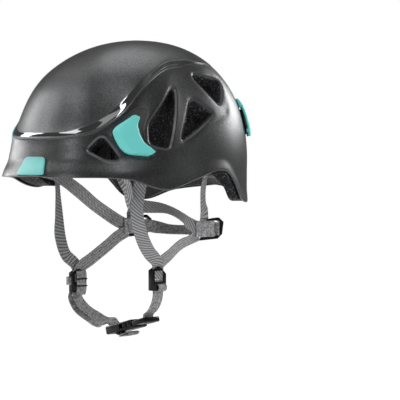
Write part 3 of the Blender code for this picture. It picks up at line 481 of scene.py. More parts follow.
def shellSurface(angle, height, lift=0.0, finish=True):  # the dome's points moved along their facing
    height = np.asarray(height, float) + 0 * angle
    points, facing = dome(angle, height, shellForm)
    moved = shellMoved(angle, height) + lift
    if finish:
        moved = moved + shellFinish(angle, height)
    return points + facing * np.asarray(moved)[..., None], facing


cavityForm = {"halfLength": 0.103, "halfWidth": 0.082, "height": 0.107, "backAtRim": 0.003,
              "backAtTop": 0.0136, "wallGap": 0.0005}


def cavitySurface(angle, height, lift=0.0):  # the liner's inner face, moved in towards the head
    points, facing = dome(angle, height, cavityForm)
    return points - facing * (np.asarray(lift) + 0 * angle)[..., None], facing


# a flat chart of the shell round the middle of an outline, in metres
class Chart:
    nudge, times = 1e-4, 4

    def __init__(self, corners, side, share):
        corners = np.asarray(corners, float) * (math.radians(1.0), 1.0)
        self.side = side
        self.middle = corners.mean(axis=0)
        turns = self.middle[0] + np.array([-self.nudge, self.nudge, 0, 0])
        heights = self.middle[1] + np.array([0, 0, -self.nudge, self.nudge])
        points = shellSurface(turns, heights)[0]
        self.scale = np.linalg.norm(points[1::2] - points[::2], axis=1) / (2 * self.nudge)
        self.outline = cornersCut((corners - self.middle) * self.scale, self.times, share)

    def toFlat(self, angle, height):
        return (np.stack([angle * self.side, height], -1) - self.middle) * self.scale

    def fromFlat(self, spots):
        found = spots / self.scale + self.middle
        return found[..., 0] * self.side, found[..., 1]


recessCharts = {side: Chart(recessOutline, side, cornerCuts["recess"]) for side, hand in hands}
ventCharts = [Chart(corners, side, cornerCuts["vent"])
              for side, hand in hands for corners in ventOutlines.values()]


def shellRows():  # heights of the rows at each angle: rim, lip, band, step, crown
    form = shellForm
    angle = np.linspace(-np.pi, np.pi, form["columns"], endpoint=False)
    rim, foot, edge = (byAngle(angle, line) for line in (rimLine, footLine, edgeLine))
    rim = rim + form["rimLift"]
    below, above = form["stepMargins"]
    marks = (rim, rim + form["lipHeight"], foot - below, edge + above)
    heights = [low + (high - low) * np.linspace(0, 1, count, endpoint=False)[:, None]
               for low, high, count in zip(marks, marks[1:], form["rows"])]
    rise = np.sin(np.linspace(0, 1, form["rows"][-1]) * np.pi / 2)[:, None]
    heights = np.concatenate(heights + [marks[-1] + (form["height"] - marks[-1]) * rise])
    return np.broadcast_to(angle, heights.shape), heights


def holesOn(charts, form):
    return [{"chart": chart, **form} for chart in charts]


def closedTop(points, levels, count):  # draws each face's top row into one point, and marks the inner face
    number = np.arange(len(points))
    top = np.abs(levels - shellForm["height"]) < 1e-9
    for group in (top & (number < count), top & (number >= count)):
        points[group] = points[group].mean(axis=0)
    return (number >= count) & (number < 2 * count)


# profiles of the shell's edges: the distance out from the outline, or up, and the depth
shellEdges = {
    # a vent's rim: down a bevel from the outer face, round the hole's edge, back under
    "vent": {"cut": 0.0024, "slack": 0.0006, "profile": (
        (0.0020, 0.00012), (0.0016, 0.00040), (0.0006, 0.00105), (0.0002, 0.00128), (0.0000, 0.00155),
        (0.0002, 0.00190), (0.0012, 0.0020))},
    # the clip recess: a crisp edge straight down to its bed
    "recess": {"cut": 0.0008, "slack": 0.0004, "profile": (
        (0.0004, 0.00006), (0.0001, 0.00025), (0.0, 0.0006), (-0.0001, 0.0012), (0.0001, 0.0019))},
    "rim": ((-0.0003, 0.0001), (-0.0007, 0.0006), (-0.0008, 0.0010), (-0.0007, 0.0014), (-0.0003, 0.0019)),
}


def buildShell(material):
    form = shellForm
    angle, height = shellRows()

    def at(angle, height, depth):
        return shellSurface(angle, height, -depth)[0]

    holes = holesOn(ventCharts, shellEdges["vent"]) + holesOn(recessCharts.values(), shellEdges["recess"])
    wall, rim = form["wall"], shellEdges["rim"]
    points, quads, sides, levels, ringed = walledSurface(at, angle, height, wall, holes, rim)
    lining = closedTop(points, levels, angle.size)
    share = stepShare(sides, levels)
    turn = turnOf(sides)
    band = fade(share, form["bandStart"]) * (1.0 - fade(share, form["bandEnd"]))
    gloss = np.maximum(ringed * form["ringGloss"], band * (1.0 - fade(turn, form["glossFade"])))
    # painted shade: the step band's sides and the vents' bevel rings are darkened in colour and lose their
    # metal, for the shade that falls there
    paintedShade = np.maximum(ringed * form["ringPaintedShade"], band * (1.0 - fade(turn, form["paintedShadeFade"])))
    masks = {"gloss": gloss, "paintedShade": paintedShade, "lining": lining}
    return addPiece("shell", points, quads, material, masks=masks, sharp=form["sharp"])


linerForm = {
    "columns": 220, "rows": 60, "gap": 0.0005, "setBack": 0.0016, "ventCut": -0.0010, "slack": 0.0012,
    "tunnel": -0.0011, "tunnelDepths": (0.03, 0.12, 0.25, 0.4, 0.55, 0.7, 0.85, 0.95),
    "edgeDepths": (0.04, 0.15, 0.3, 0.45, 0.6, 0.75, 0.9, 0.97), "edgeRoll": 0.0022, "rollHeight": 0.05,
    "rearFlare": 0.5, "flareTurn": (112.0, 14.0), "flareHeight": 0.22, "satinFade": (0.008, 0.020),
    "sharp": 60.0,
}


def buildLiner(material):
    form = linerForm
    angle = np.linspace(-np.pi, np.pi, form["columns"], endpoint=False)
    rim = byAngle(angle, rimLine) + form["setBack"]
    rise = np.sin(np.linspace(0, 1, form["rows"]) * np.pi / 2)
    height = rim + (shellForm["height"] - rim) * rise[:, None]
    angle = np.broadcast_to(angle, height.shape)

    # depth 0 is the face under the shell and depth 1 the head cavity: between them straight lines;
    # near the rim the outer edge rolls in, and at the rear the inner face flares out to meet it
    def at(angle, height, depth):
        rim = byAngle(angle, rimLine) + form["setBack"]
        share = (height - rim) / (shellForm["height"] - rim)
        under = shellSurface(angle, height, -shellForm["wall"] - form["gap"], finish=False)[0]
        cavity = cavitySurface(angle, rim + (cavityForm["height"] - rim) * share)[0]
        roll = form["edgeRoll"] * (1 - smooth(share / form["rollHeight"]))
        roll = roll / np.linalg.norm(cavity - under, axis=-1)
        flare = form["rearFlare"] * fade(turnOf(angle), form["flareTurn"])
        flare = flare * (1 - smooth(share / form["flareHeight"]))
        depth = roll + np.asarray(depth) * (1 - roll - flare)
        return under + (cavity - under) * depth[..., None]

    tunnel = [(form["tunnel"], depth) for depth in form["tunnelDepths"]]
    holes = holesOn(ventCharts, {"cut": form["ventCut"], "slack": form["slack"], "profile": tunnel})
    edge = [(0.0, depth) for depth in form["edgeDepths"]]
    points, quads, sides, levels, ringed = walledSurface(at, angle, height, 1.0, holes, edge)
    within = closedTop(points, levels, angle.size)
    rear = within * (1 - fade(points[:, 2], form["satinFade"])) * fade(turnOf(sides), form["flareTurn"])
    return addPiece("liner", points, quads, material, masks={"rear": rear}, sharp=form["sharp"])


# a plate on a surface: rings of one outline, shrunk towards its middle, at given lifts
def plate(name, surface, outline, rings, material, masks=None):
    rings = np.array(rings)
    middle = outline.mean(axis=0)
    spots = middle + (outline - middle)[None] * rings[:, 0, None, None]
    lifts = np.broadcast_to(rings[:, 1, None], spots.shape[:2])
    points = surface(spots[..., 0], spots[..., 1], lifts)[0]
    masks = {key: np.full(spots.shape[:2], value) for key, value in (masks or {}).items()}
    return addPiece(name, points, gridQuads(len(rings), len(outline), True), material, masks=masks)


def level(shares, lift):  # rings at one lift
    return [(share, lift) for share in shares]


# corners cut, with points added along the straight runs, and degrees turned to radians
def softOutline(corners, side=1, times=3, share=0.2, fill=5):
    corners = np.asarray(corners, float)
    following = np.roll(corners, -1, axis=0)
    steps = np.linspace(0, 1, fill, endpoint=False)[None, :, None]
    dense = (corners[:, None] + (following - corners)[:, None] * steps).reshape(-1, 2)
    return cornersCut(dense, times, share) * (math.radians(1.0) * side, 1.0)


def boxOutline(low, high, foot, head, side):
    return softOutline(((low, foot), (high, foot), (high, head), (low, head)), side)


def buildRecessBed(name, side, material):  # the sunk floor of a clip recess, just under the shell's face
    chart = recessCharts[side]
    # the bed takes the gloss and, at the same share, painted shade for the recess
    bed, gloss = -shellForm["recessDepth"], shellForm["recessGlossAndShade"]
    rings = level((0.0, 0.4, 0.8, 1.0), -shellForm["wall"]) + [(1.01, bed - 0.0004)]
    rings += level((1.0, 0.95, 0.8, 0.6, 0.3, 0.0), bed)
    outline = np.stack(chart.fromFlat(chart.outline), 1)
    return plate(name, shellSurface, outline, rings, material, {"gloss": gloss, "paintedShade": gloss})


badgeForm = {
    "corners": ((-10.0, -0.0035), (10.0, -0.0035), (9.0, 0.003), (7.2, 0.0145), (-7.2, 0.0145),
                (-9.0, 0.003)),
    "low": 0.0003, "high": 0.0017,
}


def buildBadge(material):
    low, high = badgeForm["low"], badgeForm["high"]
    rings = level((0.0, 0.3, 0.6, 0.85, 0.97), low) + [(0.995, low + 0.0001), (1.0, low + 0.0004)]
    rings += [(0.998, high - 0.0004), (0.985, high - 0.0001)] + level((0.96, 0.85, 0.7, 0.5, 0.3, 0.0), high)
    outline = softOutline(badgeForm["corners"], times=4, share=0.25, fill=2)
    return plate("badge", shellSurface, outline, rings, material)


closeForm = {"shares": (0.0, 0.5, 0.8, 0.95), "bulges": (0.0006, 0.0005, 0.00036, 0.0002), "times": 2}


# a closed body through sections: corners cut, ends drawn in to a rounded close
def carriedPiece(name, sections, material, share, sharp):
    sections = np.stack([cornersCut(section, closeForm["times"], share) for section in sections])
    shares, bulges = (np.array(closeForm[key])[:, None, None] for key in ("shares", "bulges"))

    def close(last, inner):
        middle = last.mean(axis=0)
        out = middle - inner.mean(axis=0)
        return middle + (last - middle) * shares + out / np.linalg.norm(out) * bulges

    grid = np.concatenate([close(*sections[:2]), sections, close(*sections[:-3:-1])[::-1]])
    return addPiece(name, grid, gridQuads(grid.shape[0], grid.shape[1], True), material, sharp=sharp)


# the crescent between an outer edge and a hook; its profile is the share of the way across and the lift
frontClip = {
    "outer": ((51.0, 0.0550), (43.0, 0.0425), (42.2, 0.0385), (47.0, 0.0220), (51.0, 0.0170), (60.0, 0.0150)),
    "hook": ((54.8, 0.0522), (54.0, 0.0455), (54.8, 0.0390), (57.5, 0.0290), (62.0, 0.0220), (63.5, 0.0193)),
    "profile": ((0.0, -0.0006), (0.30, -0.0006), (0.35, 0.0045), (1.0, 0.0045), (1.0, 0.0059),
                (0.93, 0.0070), (0.60, 0.0074), (0.27, 0.0075), (0.0, 0.0036)),
    "stations": 57, "cut": 0.09, "sharp": 25.0,
}


def buildFrontClip(name, side, material):
    form = frontClip
    places = np.arange(float(len(form["outer"])))
    wanted = np.linspace(0, places[-1], form["stations"])
    outer, hook = (curveAt(places, form[key], wanted) for key in ("outer", "hook"))
    rows = []
    for share, lift in form["profile"]:
        spot = outer + (hook - outer) * share
        rows.append(shellSurface(np.radians(spot[:, 0]) * side, spot[:, 1], lift, finish=False)[0])
    return carriedPiece(name, np.stack(rows, 1), material, form["cut"], form["sharp"])


# the tongue: its stations are a height and the lifts of its two faces
rearClip = {
    "angle": 147.0, "halfAngle": 5.6, "crown": 0.0004, "across": (-1, -0.5, 0, 0.5, 1),
    "marks": (
        (0.0730, 0.0003, 0.0024), (0.0690, 0.0003, 0.0041), (0.0650, 0.0003, 0.0049),
        (0.0644, 0.0022, 0.0050), (0.0580, 0.0027, 0.0054), (0.0500, 0.0029, 0.0056),
        (0.0425, 0.0029, 0.0056), (0.0420, 0.0014, 0.0056), (0.0395, 0.0014, 0.0056),
        (0.0390, 0.0028, 0.0055), (0.0350, 0.0026, 0.0050),
    ),
    "stations": 61, "cut": 0.18, "sharp": 40.0,
}


def buildRearClip(name, side, material):
    form = rearClip
    places = np.arange(float(len(form["marks"])))
    height, under, over = curveAt(places, form["marks"], np.linspace(0, places[-1], form["stations"])).T
    rows = []
    for shares, lift, crown in ((form["across"], under, 0.0), (form["across"][::-1], over, form["crown"])):
        for share in shares:
            angle = np.full(len(height), np.radians(form["angle"] + form["halfAngle"] * share) * side)
            rows.append(shellSurface(angle, height, lift + crown * (1 - share**2), finish=False)[0])
    return carriedPiece(name, np.stack(rows, 1), material, form["cut"], form["sharp"])


# a black strip on the shell under the rear clip's arm, which closes the gap behind it
rearBed = {"span": (0.0370, 0.0625), "share": 0.86, "low": -0.0004, "high": 0.0016}


def buildRearBed(name, side, material):
    low, high = rearBed["low"], rearBed["high"]
    angle, half = rearClip["angle"], rearClip["halfAngle"] * rearBed["share"]
    rings = level((0.0, 0.5, 0.98), low) + [(1.0, low + 0.0003), (1.0, high - 0.0004)]
    rings += level((0.97, 0.8, 0.4, 0.0), high)
    outline = boxOutline(angle - half, angle + half, *rearBed["span"], side)
    return plate(name, shellSurface, outline, rings, material)


# comfort pads: a patch of the cavity wall that swells between its sewn edge and channels
padForm = {
    "thick": 0.0050, "hem": 0.0007, "fill": 0.7, "columns": 121, "rows": 41, "drawnUp": 0.10, "drawnIn": 0.02,
    "flat": 0.62, "groovePower": 0.35,
    "brow_pad": {"span": (-38, 38, 0.004, 0.030), "channels": 5},
    "nape_pad": {"span": (152, 208, -0.008, 0.016), "channels": 3},
    "crown_pad": {"foot": 0.093, "columns": 96, "rows": 40, "flat": 0.72, "channels": 3, "groovePower": 0.4},
}


def padLift(swell):
    return cavityForm["wallGap"] + padForm["hem"] + (padForm["thick"] - padForm["hem"]) * swell


def buildPad(name, material):
    form = padForm
    left, right, foot, head = form[name]["span"]
    across, up = np.meshgrid(np.linspace(-1, 1, form["columns"]), np.linspace(-1, 1, form["rows"]))
    inward, shorter = 1 - form["drawnIn"] * np.abs(up) ** 6, 1 - form["drawnUp"] * np.abs(across) ** 6
    angle = np.radians((left + right) / 2 + (right - left) / 2 * across * inward)
    height = (foot + head) / 2 + (head - foot) / 2 * up * shorter
    swell = (1 - np.abs(across) ** 10) ** 0.5 * (1 - np.abs(up) ** 4) ** 0.5
    groove = np.abs(np.sin(np.pi * form[name]["channels"] * (across + 1) / 2)) ** form["groovePower"]
    swell = swell * (form["flat"] + (1 - form["flat"]) * groove)
    faces = [cavitySurface(angle, height, lift)[0] for lift in (padLift(swell), cavityForm["wallGap"])]
    number = np.arange(across.size).reshape(across.shape)
    rim = np.concatenate([number[0], number[1:, -1], number[-1, -2::-1], number[-2:0:-1, 0]])
    cells = gridQuads(*across.shape)
    quads = [cells, cells[:, ::-1] + across.size, stripQuads(np.stack([rim, rim + across.size]))]
    return addPiece(name + "_soft", np.stack(faces), np.concatenate(quads), material)


def buildCrownPad(name, material):
    form = padForm[name]
    angle = np.linspace(-np.pi, np.pi, form["columns"], endpoint=False)
    share = np.linspace(0, 1, form["rows"])
    height = form["foot"] + (cavityForm["height"] - form["foot"]) * np.sin(share * np.pi / 2)
    angle, height = np.meshgrid(angle, height)
    groove = np.abs(np.cos(form["channels"] * np.pi * share)) ** form["groovePower"]
    swell = (1 - (1 - share) ** 6) ** 0.5 * (form["flat"] + (1 - form["flat"]) * groove)
    lifts = (padLift(swell)[:, None], cavityForm["wallGap"])
    top, back = (cavitySurface(angle, height, lift)[0] for lift in lifts)
    top[-1], back[-1] = top[-1].mean(axis=0), back[-1].mean(axis=0)
    grid = np.concatenate([back[::-1], top])
    return addPiece(name + "_soft", grid, gridQuads(len(grid), form["columns"], True), material)


# spans: degrees from the front, and heights
anchorForm = {"front": (42, 77, 0.003, 0.016), "rear": (119, 131, 0.010, 0.022),
              "thick": 0.0030, "sunk": 0.0007}


def buildAnchor(name, span, side, material):
    gap = cavityForm["wallGap"]
    top = gap + anchorForm["thick"]
    rings = level((0.0, 0.5, 0.97), gap) + [(1.0, gap + 0.0006), (0.99, top - 0.0008)]
    rings += level((0.95, 0.8), top) + level((0.74, 0.4, 0.0), top - anchorForm["sunk"])
    return plate(name, cavitySurface, boxOutline(*span, side), rings, material)


# webbing: a flat round-edged profile carried along a route; each of its two faces has slanting ribs,
# or lengthwise lines where its share of ribs is 0; lean turns their slant round and apart spreads them;
# part keeps a share of the route's length
webForm = {"width": 0.0135, "thick": 0.0012, "pitch": 0.0034, "slant": 0.85, "rib": 0.00020,
           "lines": 5, "line": 0.00010, "step": 0.0007, "across": 37, "sharp": 70.0}


def webProfile(width, thick):
    count = webForm["across"]
    flat = np.linspace(-1, 1, count) * (width / 2 - thick / 2)
    turn = np.linspace(np.pi / 2, -np.pi / 2, 5)[1:-1]
    right = np.stack([width / 2 - thick / 2 + np.cos(turn) * thick / 2, np.sin(turn) * thick / 2], 1)
    top = np.stack([flat, np.full(count, thick / 2)], 1)
    face = np.concatenate([np.ones(count), np.zeros(3), -np.ones(count), np.zeros(3)])
    return np.concatenate([top, right, -top, -right]), face


def unit(vectors):
    return vectors / np.linalg.norm(vectors, axis=1, keepdims=True)


def webbing(name, route, sides, material, width=webForm["width"], part=(0.0, 1.0), ribs=(1.0, 1.0),
            lean=1.0, apart=1.0, lined=1.0):
    form = webForm
    thick = form["thick"]
    places = lengthsAlong(route)
    span = places[-1] * (part[1] - part[0])
    wanted = np.linspace(places[-1] * part[0], places[-1] * part[1], max(8, int(span / form["step"])))
    middle = curveAt(places, route, wanted, True)
    across = curveAt(places, np.broadcast_to(sides, np.shape(route)), wanted)
    along = unit(np.gradient(middle, axis=0))
    across = unit(across - along * (across * along).sum(1, keepdims=True))
    facing = np.cross(along, across)
    profile, face = webProfile(width, thick)
    length, offset = np.meshgrid(wanted, profile[:, 0], indexing="ij")
    ribbed = np.where(face > 0, ribs[0], np.where(face < 0, ribs[1], 0.0))[None] + 0 * length
    wave = np.sin(2 * np.pi * (length / apart + form["slant"] * lean * offset) / form["pitch"])
    line = np.cos(2 * np.pi * form["lines"] * offset / width)
    fading = 1 - np.clip(np.abs(offset) / (width / 2 - thick), 0, 1) ** 12
    relief = form["rib"] * (wave - 1.0) * ribbed + form["line"] * lined * (line - 1.0) * (1.0 - ribbed)
    height = profile[None, :, 1] + relief * fading * face[None]
    grid = middle[:, None] + across[:, None] * offset[..., None] + facing[:, None] * height[..., None]
    uv = np.stack([length / apart, offset], -1)
    ends = [np.broadcast_to(grid[row].mean(axis=0), grid[:1].shape) for row in (0, -1)]
    grid = np.concatenate([ends[0], grid, ends[1]])
    uv, ribbed = (np.concatenate([each[:1], each, each[-1:]]) for each in (uv, ribbed))
    masks = {"ribbed": ribbed, "lined": np.full_like(ribbed, lined), "lean": np.full_like(ribbed, lean)}
    cells = gridQuads(grid.shape[0], grid.shape[1], True)
    return addPiece(name, grid, cells, material, uv, masks, form["sharp"])


# stitches: small rounded bars of thread, each from one point to the next, lying on a face
stitchForm = {"thread": 0.00045, "up": 0.35, "ring": 6, "rows": (0.0, 0.55, 1.0, 1.0, 0.55, 0.0),
              "sharp": 80.0}


def stitches(name, starts, along, facing, material):
    form = stitchForm
    along, facing = (np.broadcast_to(np.asarray(each, float), starts.shape) for each in (along, facing))
    across = unit(np.cross(facing, along))
    turn = np.linspace(0, 2 * np.pi, form["ring"], endpoint=False)
    wide = np.array(form["rows"])
    share = np.linspace(0, 1, len(wide))
    middle = starts[:, None] + along[:, None] * share[None, :, None]
    middle = middle + facing[:, None] * (form["thread"] * form["up"] * wide)[None, :, None]
    radius = (form["thread"] * 0.5 * wide)[None, :, None, None]
    ring = across[:, None, None] * np.cos(turn)[None, None, :, None]
    ring = ring + facing[:, None, None] * np.sin(turn)[None, None, :, None]
    grid = middle[:, :, None] + ring * radius
    cells = gridQuads(len(wide), len(turn), True)
    firsts = np.arange(len(starts)) * len(wide) * len(turn)
    quads = (cells[None] + firsts[:, None, None]).reshape(-1, 4)
    return addPiece(name, grid, quads, material, sharp=form["sharp"])


# materials
# the near-black colour after the base is painted shade, laid on the step band, the vent rings and the clip
# recesses
shellLook = {
    "base": (0.089, 0.090, 0.092), "pale": 1.55, "deep": 0.60, "paintedShade": (0.016, 0.016, 0.0165),
    "mirror": (0.18, 0.18, 0.183), "lining": (0.008, 0.008, 0.008),
    "flake": (2600.0, 1.0), "speck": (640.0, 3.0), "cloud": (14.0, 2.0), "shares": (1.2, 1.5, 0.3),
    "less": 1.05,
    "metal": 0.92, "satin": 0.37, "gloss": 0.06, "flakeRough": 0.10, "cloudRough": 0.05,
    "specular": 0.12, "bump": (0.16, 0.0003),
}


def shellPaint():
    look = shellLook
    material, wire = newMaterial("anthracite pearl")
    gloss, paintedShade, lining = (wire.mask(name) for name in ("gloss", "paintedShade", "lining"))
    flake, speck, cloud = (wire.noise(*look[name]) for name in ("flake", "speck", "cloud"))
    flakes, specks, clouds = look["shares"]
    share = (flake * flakes + speck * specks + cloud * clouds - look["less"]).clipped()
    tint = wire.mix(share, scaled(look["base"], look["deep"]), scaled(look["base"], look["pale"]))
    # painted shade first, then the glossy band's own reflectance, then the inner face
    for mask, key in ((paintedShade, "paintedShade"), (gloss, "mirror"), (lining, "lining")):
        tint = wire.mix(mask, tint, look[key])
    satin = look["satin"] + look["flakeRough"] * (flake - 0.5) + look["cloudRough"] * (cloud - 0.5)
    return dressed(material, {
        "Base Color": tint,
        "Roughness": satin * (1 - gloss) + look["gloss"] * gloss,
        "Metallic": look["metal"] * (1 - paintedShade * (1 - gloss)),
        "Specular IOR Level": look["specular"],
        "Normal": wire.bump(flake * (1 - gloss), *look["bump"]),
    })


# mouldings and thread: a colour clouded by one noise, and a rough grain of another;
# each noise is its scale and detail, and rough is its level and what cloud and grain add
# the badge's share darkens a copy of the teal for the badge: painted shade on the same plastic as the clips
tealLook = {"base": (0.122, 0.550, 0.512), "deep": 0.9, "badge": 0.76, "cloud": (60.0, 2.0),
            "grain": (3000.0, 1.0), "rough": (0.38, 0.0, 0.08), "specular": 0.5, "bump": (0.06, 0.0002)}
blackLook = {"deep": (0.004, 0.004, 0.0045), "base": (0.009, 0.009, 0.0095), "cloud": (120.0, 2.0),
             "grain": (2200.0, 1.0), "rough": (0.14, 0.14, 0.06), "specular": 0.16, "bump": (0.05, 0.0002)}
threadLook = {"deep": (0.38, 0.38, 0.39), "base": (0.62, 0.62, 0.62), "cloud": (2600.0, 1.0),
              "grain": (2600.0, 1.0), "rough": (0.55, 0.0, 0.2), "specular": 0.5, "bump": (0.3, 0.0001)}


def grained(name, look):
    material, wire = newMaterial(name)
    cloud, grain = wire.noise(*look["cloud"]), wire.noise(*look["grain"])
    rough, clouds, grains = look["rough"]
    return dressed(material, {
        "Base Color": wire.mix(cloud, look["deep"], look["base"]),
        "Roughness": rough + clouds * cloud + grains * grain,
        "Specular IOR Level": look["specular"],
        "Normal": wire.bump(grain, *look["bump"]),
    })


# a copy of the teal, darker where depth is below 1: painted shade
def tealPlastic(name, depth):
    base = scaled(tealLook["base"], depth)
    return grained(name, {**tealLook, "base": base, "deep": scaled(base, tealLook["deep"])})


foamLook = {
    "base": (0.005, 0.005, 0.0055), "pale": 9.0, "bead": 320.0, "speck": 900.0, "seam": 3.2,
    "glint": (0.22, 0.22, 0.22), "glints": 460.0, "glintFrom": 0.60, "glintRate": 9.0, "glintShare": 0.6,
    "satin": (0.012, 0.012, 0.013), "satinShare": 0.8, "rough": 0.80, "speckRough": 0.18, "rearRough": 0.35,
    "coat": 0.35, "coatRough": 0.25, "specular": 0.12, "bump": (0.55, 0.0009),
}


def foamBeads():
    look = foamLook
    material, wire = newMaterial("black bead foam")
    rear, speck = wire.mask("rear"), wire.noise(look["speck"])
    seam = wire.cells(look["bead"], "DISTANCE_TO_EDGE") * look["seam"] * speck
    glint = ((wire.noise(look["glints"], 3.0) - look["glintFrom"]) * look["glintRate"]).clipped()
    tint = wire.mix(seam.clipped(), look["base"], scaled(look["base"], look["pale"]))
    tint = wire.mix(glint * look["glintShare"], tint, look["glint"])
    return dressed(material, {
        "Base Color": wire.mix(rear * look["satinShare"], tint, look["satin"]),
        "Roughness": look["rough"] - look["speckRough"] * speck - look["rearRough"] * rear,
        "Specular IOR Level": look["specular"],
        "Coat Weight": rear * look["coat"],
        "Coat Roughness": look["coatRough"],
        "Normal": wire.bump(1 - wire.cells(look["bead"]), *look["bump"]),
    })


padLook = {"deep": (0.016, 0.016, 0.018), "base": (0.040, 0.040, 0.043), "cloud": 90.0, "knit": 1100.0,
           "rough": 0.9, "sheen": 0.25, "bump": (0.5, 0.0004)}


def padCloth():
    look = padLook
    material, wire = newMaterial("pad knit")
    return dressed(material, {
        "Base Color": wire.mix(wire.noise(look["cloud"]), look["deep"], look["base"]),
        "Roughness": look["rough"],
        "Sheen Weight": look["sheen"],
        "Normal": wire.bump(1 - wire.cells(look["knit"]), *look["bump"]),
    })


webLook = {
    "rib": (0.380, 0.380, 0.385), "valley": (0.075, 0.075, 0.078), "yarn": 0.0009, "yarnSlant": 1.6,
    "weft": 0.0011, "fuzz": 1500.0, "blotch": 420.0, "waveShare": 0.80, "yarnShare": 0.10, "lineShare": 0.44,
    "weftShare": 0.04, "blotchShare": 2.4, "blotchLined": 1.3, "plain": 0.42, "fuzzShare": 0.35, "less": 0.16,
    "rough": 0.82, "fuzzRough": 0.15, "sheen": 0.08, "bump": (0.35, 0.0002),
}


def webCloth():
    look, form, circle = webLook, webForm, 2 * math.pi
    material, wire = newMaterial("grey webbing")
    chart = wire.node("UVMap", {"uv_map": "Along"})
    length, offset = (wire.node("SeparateXYZ", None, {"Vector": chart}, axis) for axis in (0, 1))
    ribbed, lined, lean = (wire.mask(name) for name in ("ribbed", "lined", "lean"))
    wave = ((length + form["slant"] * lean * offset) * (circle / form["pitch"])).wave()
    line = (offset * (circle * form["lines"] / form["width"]) + circle / 4).wave()
    yarn = ((length - look["yarnSlant"] * offset) * (circle / look["yarn"])).wave()
    weft = (length * (circle / look["weft"])).wave()
    fuzz, blotch = wire.noise(look["fuzz"]), wire.noise(look["blotch"])
    twill = wave * look["waveShare"] + yarn * look["yarnShare"]
    plain = (line - 0.5) * look["lineShare"] * lined + weft * look["weftShare"] + look["plain"]
    plain = plain + (blotch - 0.5) * (look["blotchShare"] - look["blotchLined"] * lined)
    share = (twill * ribbed + plain * (1 - ribbed) + fuzz * look["fuzzShare"] - look["less"]).clipped()
    return dressed(material, {
        "Base Color": wire.mix(share, look["valley"], look["rib"]),
        "Roughness": look["rough"] - look["fuzzRough"] * fuzz,
        "Sheen Weight": look["sheen"],
        "Normal": wire.bump(yarn + weft + fuzz, *look["bump"]),
    })


shellMaterial = shellPaint()
tealMaterial = tealPlastic("teal moulding", 1.0)
# the badge's copy of the teal is darkened: painted shade
shadedBadgeMaterial = tealPlastic("teal badge with painted shade", tealLook["badge"])
foamMaterial = foamBeads()
padMaterial = padCloth()
webMaterial = webCloth()
blackMaterial = grained("black moulding", blackLook)
threadMaterial = grained("pale thread", threadLook)

place(buildShell(shellMaterial), "helmet", "shell", "outer_shell")
print("shell made")
place(buildLiner(foamMaterial), "helmet", "foam", "foam_liner")
print("liner made")
place(buildBadge(shadedBadgeMaterial), "helmet", "teal", "brow_badge")
for side, hand in hands:
    place(buildRecessBed("recess_bed_" + hand, side, shellMaterial), "helmet", "shell")
    place(buildRearBed("rear_clip_bed_" + hand, side, blackMaterial), "helmet", "black")
    node = "lamp_clip_front_" + hand
    place(buildFrontClip("front_clip_" + hand, side, tealMaterial), node, "teal", node)
    node = "lamp_clip_rear_" + hand
    place(buildRearClip("rear_clip_" + hand, side, tealMaterial), node, "teal", node)
    for end in ("front", "rear"):
        anchor = buildAnchor("anchor_plate_" + end + "_" + hand, anchorForm[end], side, blackMaterial)
        place(anchor, "helmet", "black", "anchor_" + end + "_" + hand)
print("badge, clips and anchors made")
for name, build in (("brow_pad", buildPad), ("nape_pad", buildPad), ("crown_pad", buildCrownPad)):
    pad = place(build(name, padMaterial), "helmet", "pad", name)
print("pads made")

# harness routes, from the liner's anchors to the sliders, the nape and the buckle
sliderForm = {"left": (0.0610, -0.0085, -0.1065), "right": (-0.0610, -0.0115, -0.1150), "layerGap": 0.0005}
napeForm = {"loop": (0.0560, 0.0600, -0.0600), "length": 0.026, "top": 0.0095, "layer": 0.0007}
foreAft, upright = (0.0, 1.0, 0.0), (0.0, 0.0, 1.0)
fitGap = 0.0003
layer = (webForm["thick"] + sliderForm["layerGap"]) / 2
plainWeave = {"ribs": (0.0, 0.0), "lined": 0.3}


def steps(origin, offsets, side=1):  # places by their offsets from one, mirrored for the right side
    return [tuple(np.add(origin, np.multiply(offset, (side, 1, 1)))) for offset in offsets]


def strapStart(angle, side, height):
    lift = cavityForm["wallGap"] + anchorForm["thick"] / 2
    return tuple(cavitySurface(np.array([math.radians(angle) * side]), np.array([height]), lift)[0][0])


def alongWall(angle, side):  # the level direction of the cavity wall, pointing to the rear
    facing = cavitySurface(np.array([math.radians(angle) * side]), np.zeros(1))[1][0]
    return (-facing[1] * side, facing[0] * side, 0.0)


def hang(strap, first, last, start, end, *nodes):  # a strap that stays where it is made: the solids it stands in for hidden, its place baked into its mesh
    if nodes:
        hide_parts(*nodes)
    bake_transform(strap)


# each strap: how it leaves and enters, as offsets outward, back and up from its two ends,
# its bends between them and the way of its width on the way
frontStrap = {
    "leaves": ((0, 0, 0), (0, 0, -0.006), (-0.0030, -0.0010, -0.019)),
    "enters": ((0.0004, -0.0022, 0.0170), (0, 0, 0.0126), (0, 0, -0.0012)),
    "left": {
        "angle": 60.0, "lean": -1.0,
        "bends": ((0.0105, -0.0360, 0.068), (0.0075, -0.0275, 0.044), (0.0030, -0.0125, 0.0255)),
        "sides": [(0.49, 0.87, 0.0), (0.49, 0.87, 0.0), (0.35, 0.94, 0.0), (0.35, 0.94, 0.0),
                  (0.15, 0.98, 0.0)],
    },
    "right": {
        "angle": 70.5, "lean": -0.25,
        "bends": ((0.0105, -0.0160, 0.068), (0.0075, -0.0165, 0.044), (0.0030, -0.0125, 0.0265)),
        "sides": [(-0.52, 0.85, 0.0), (-0.56, 0.83, 0.0), (-0.28, 0.96, 0.0), (0.10, 0.99, 0.0),
                  (0.10, 0.99, 0.0)],
    },
}
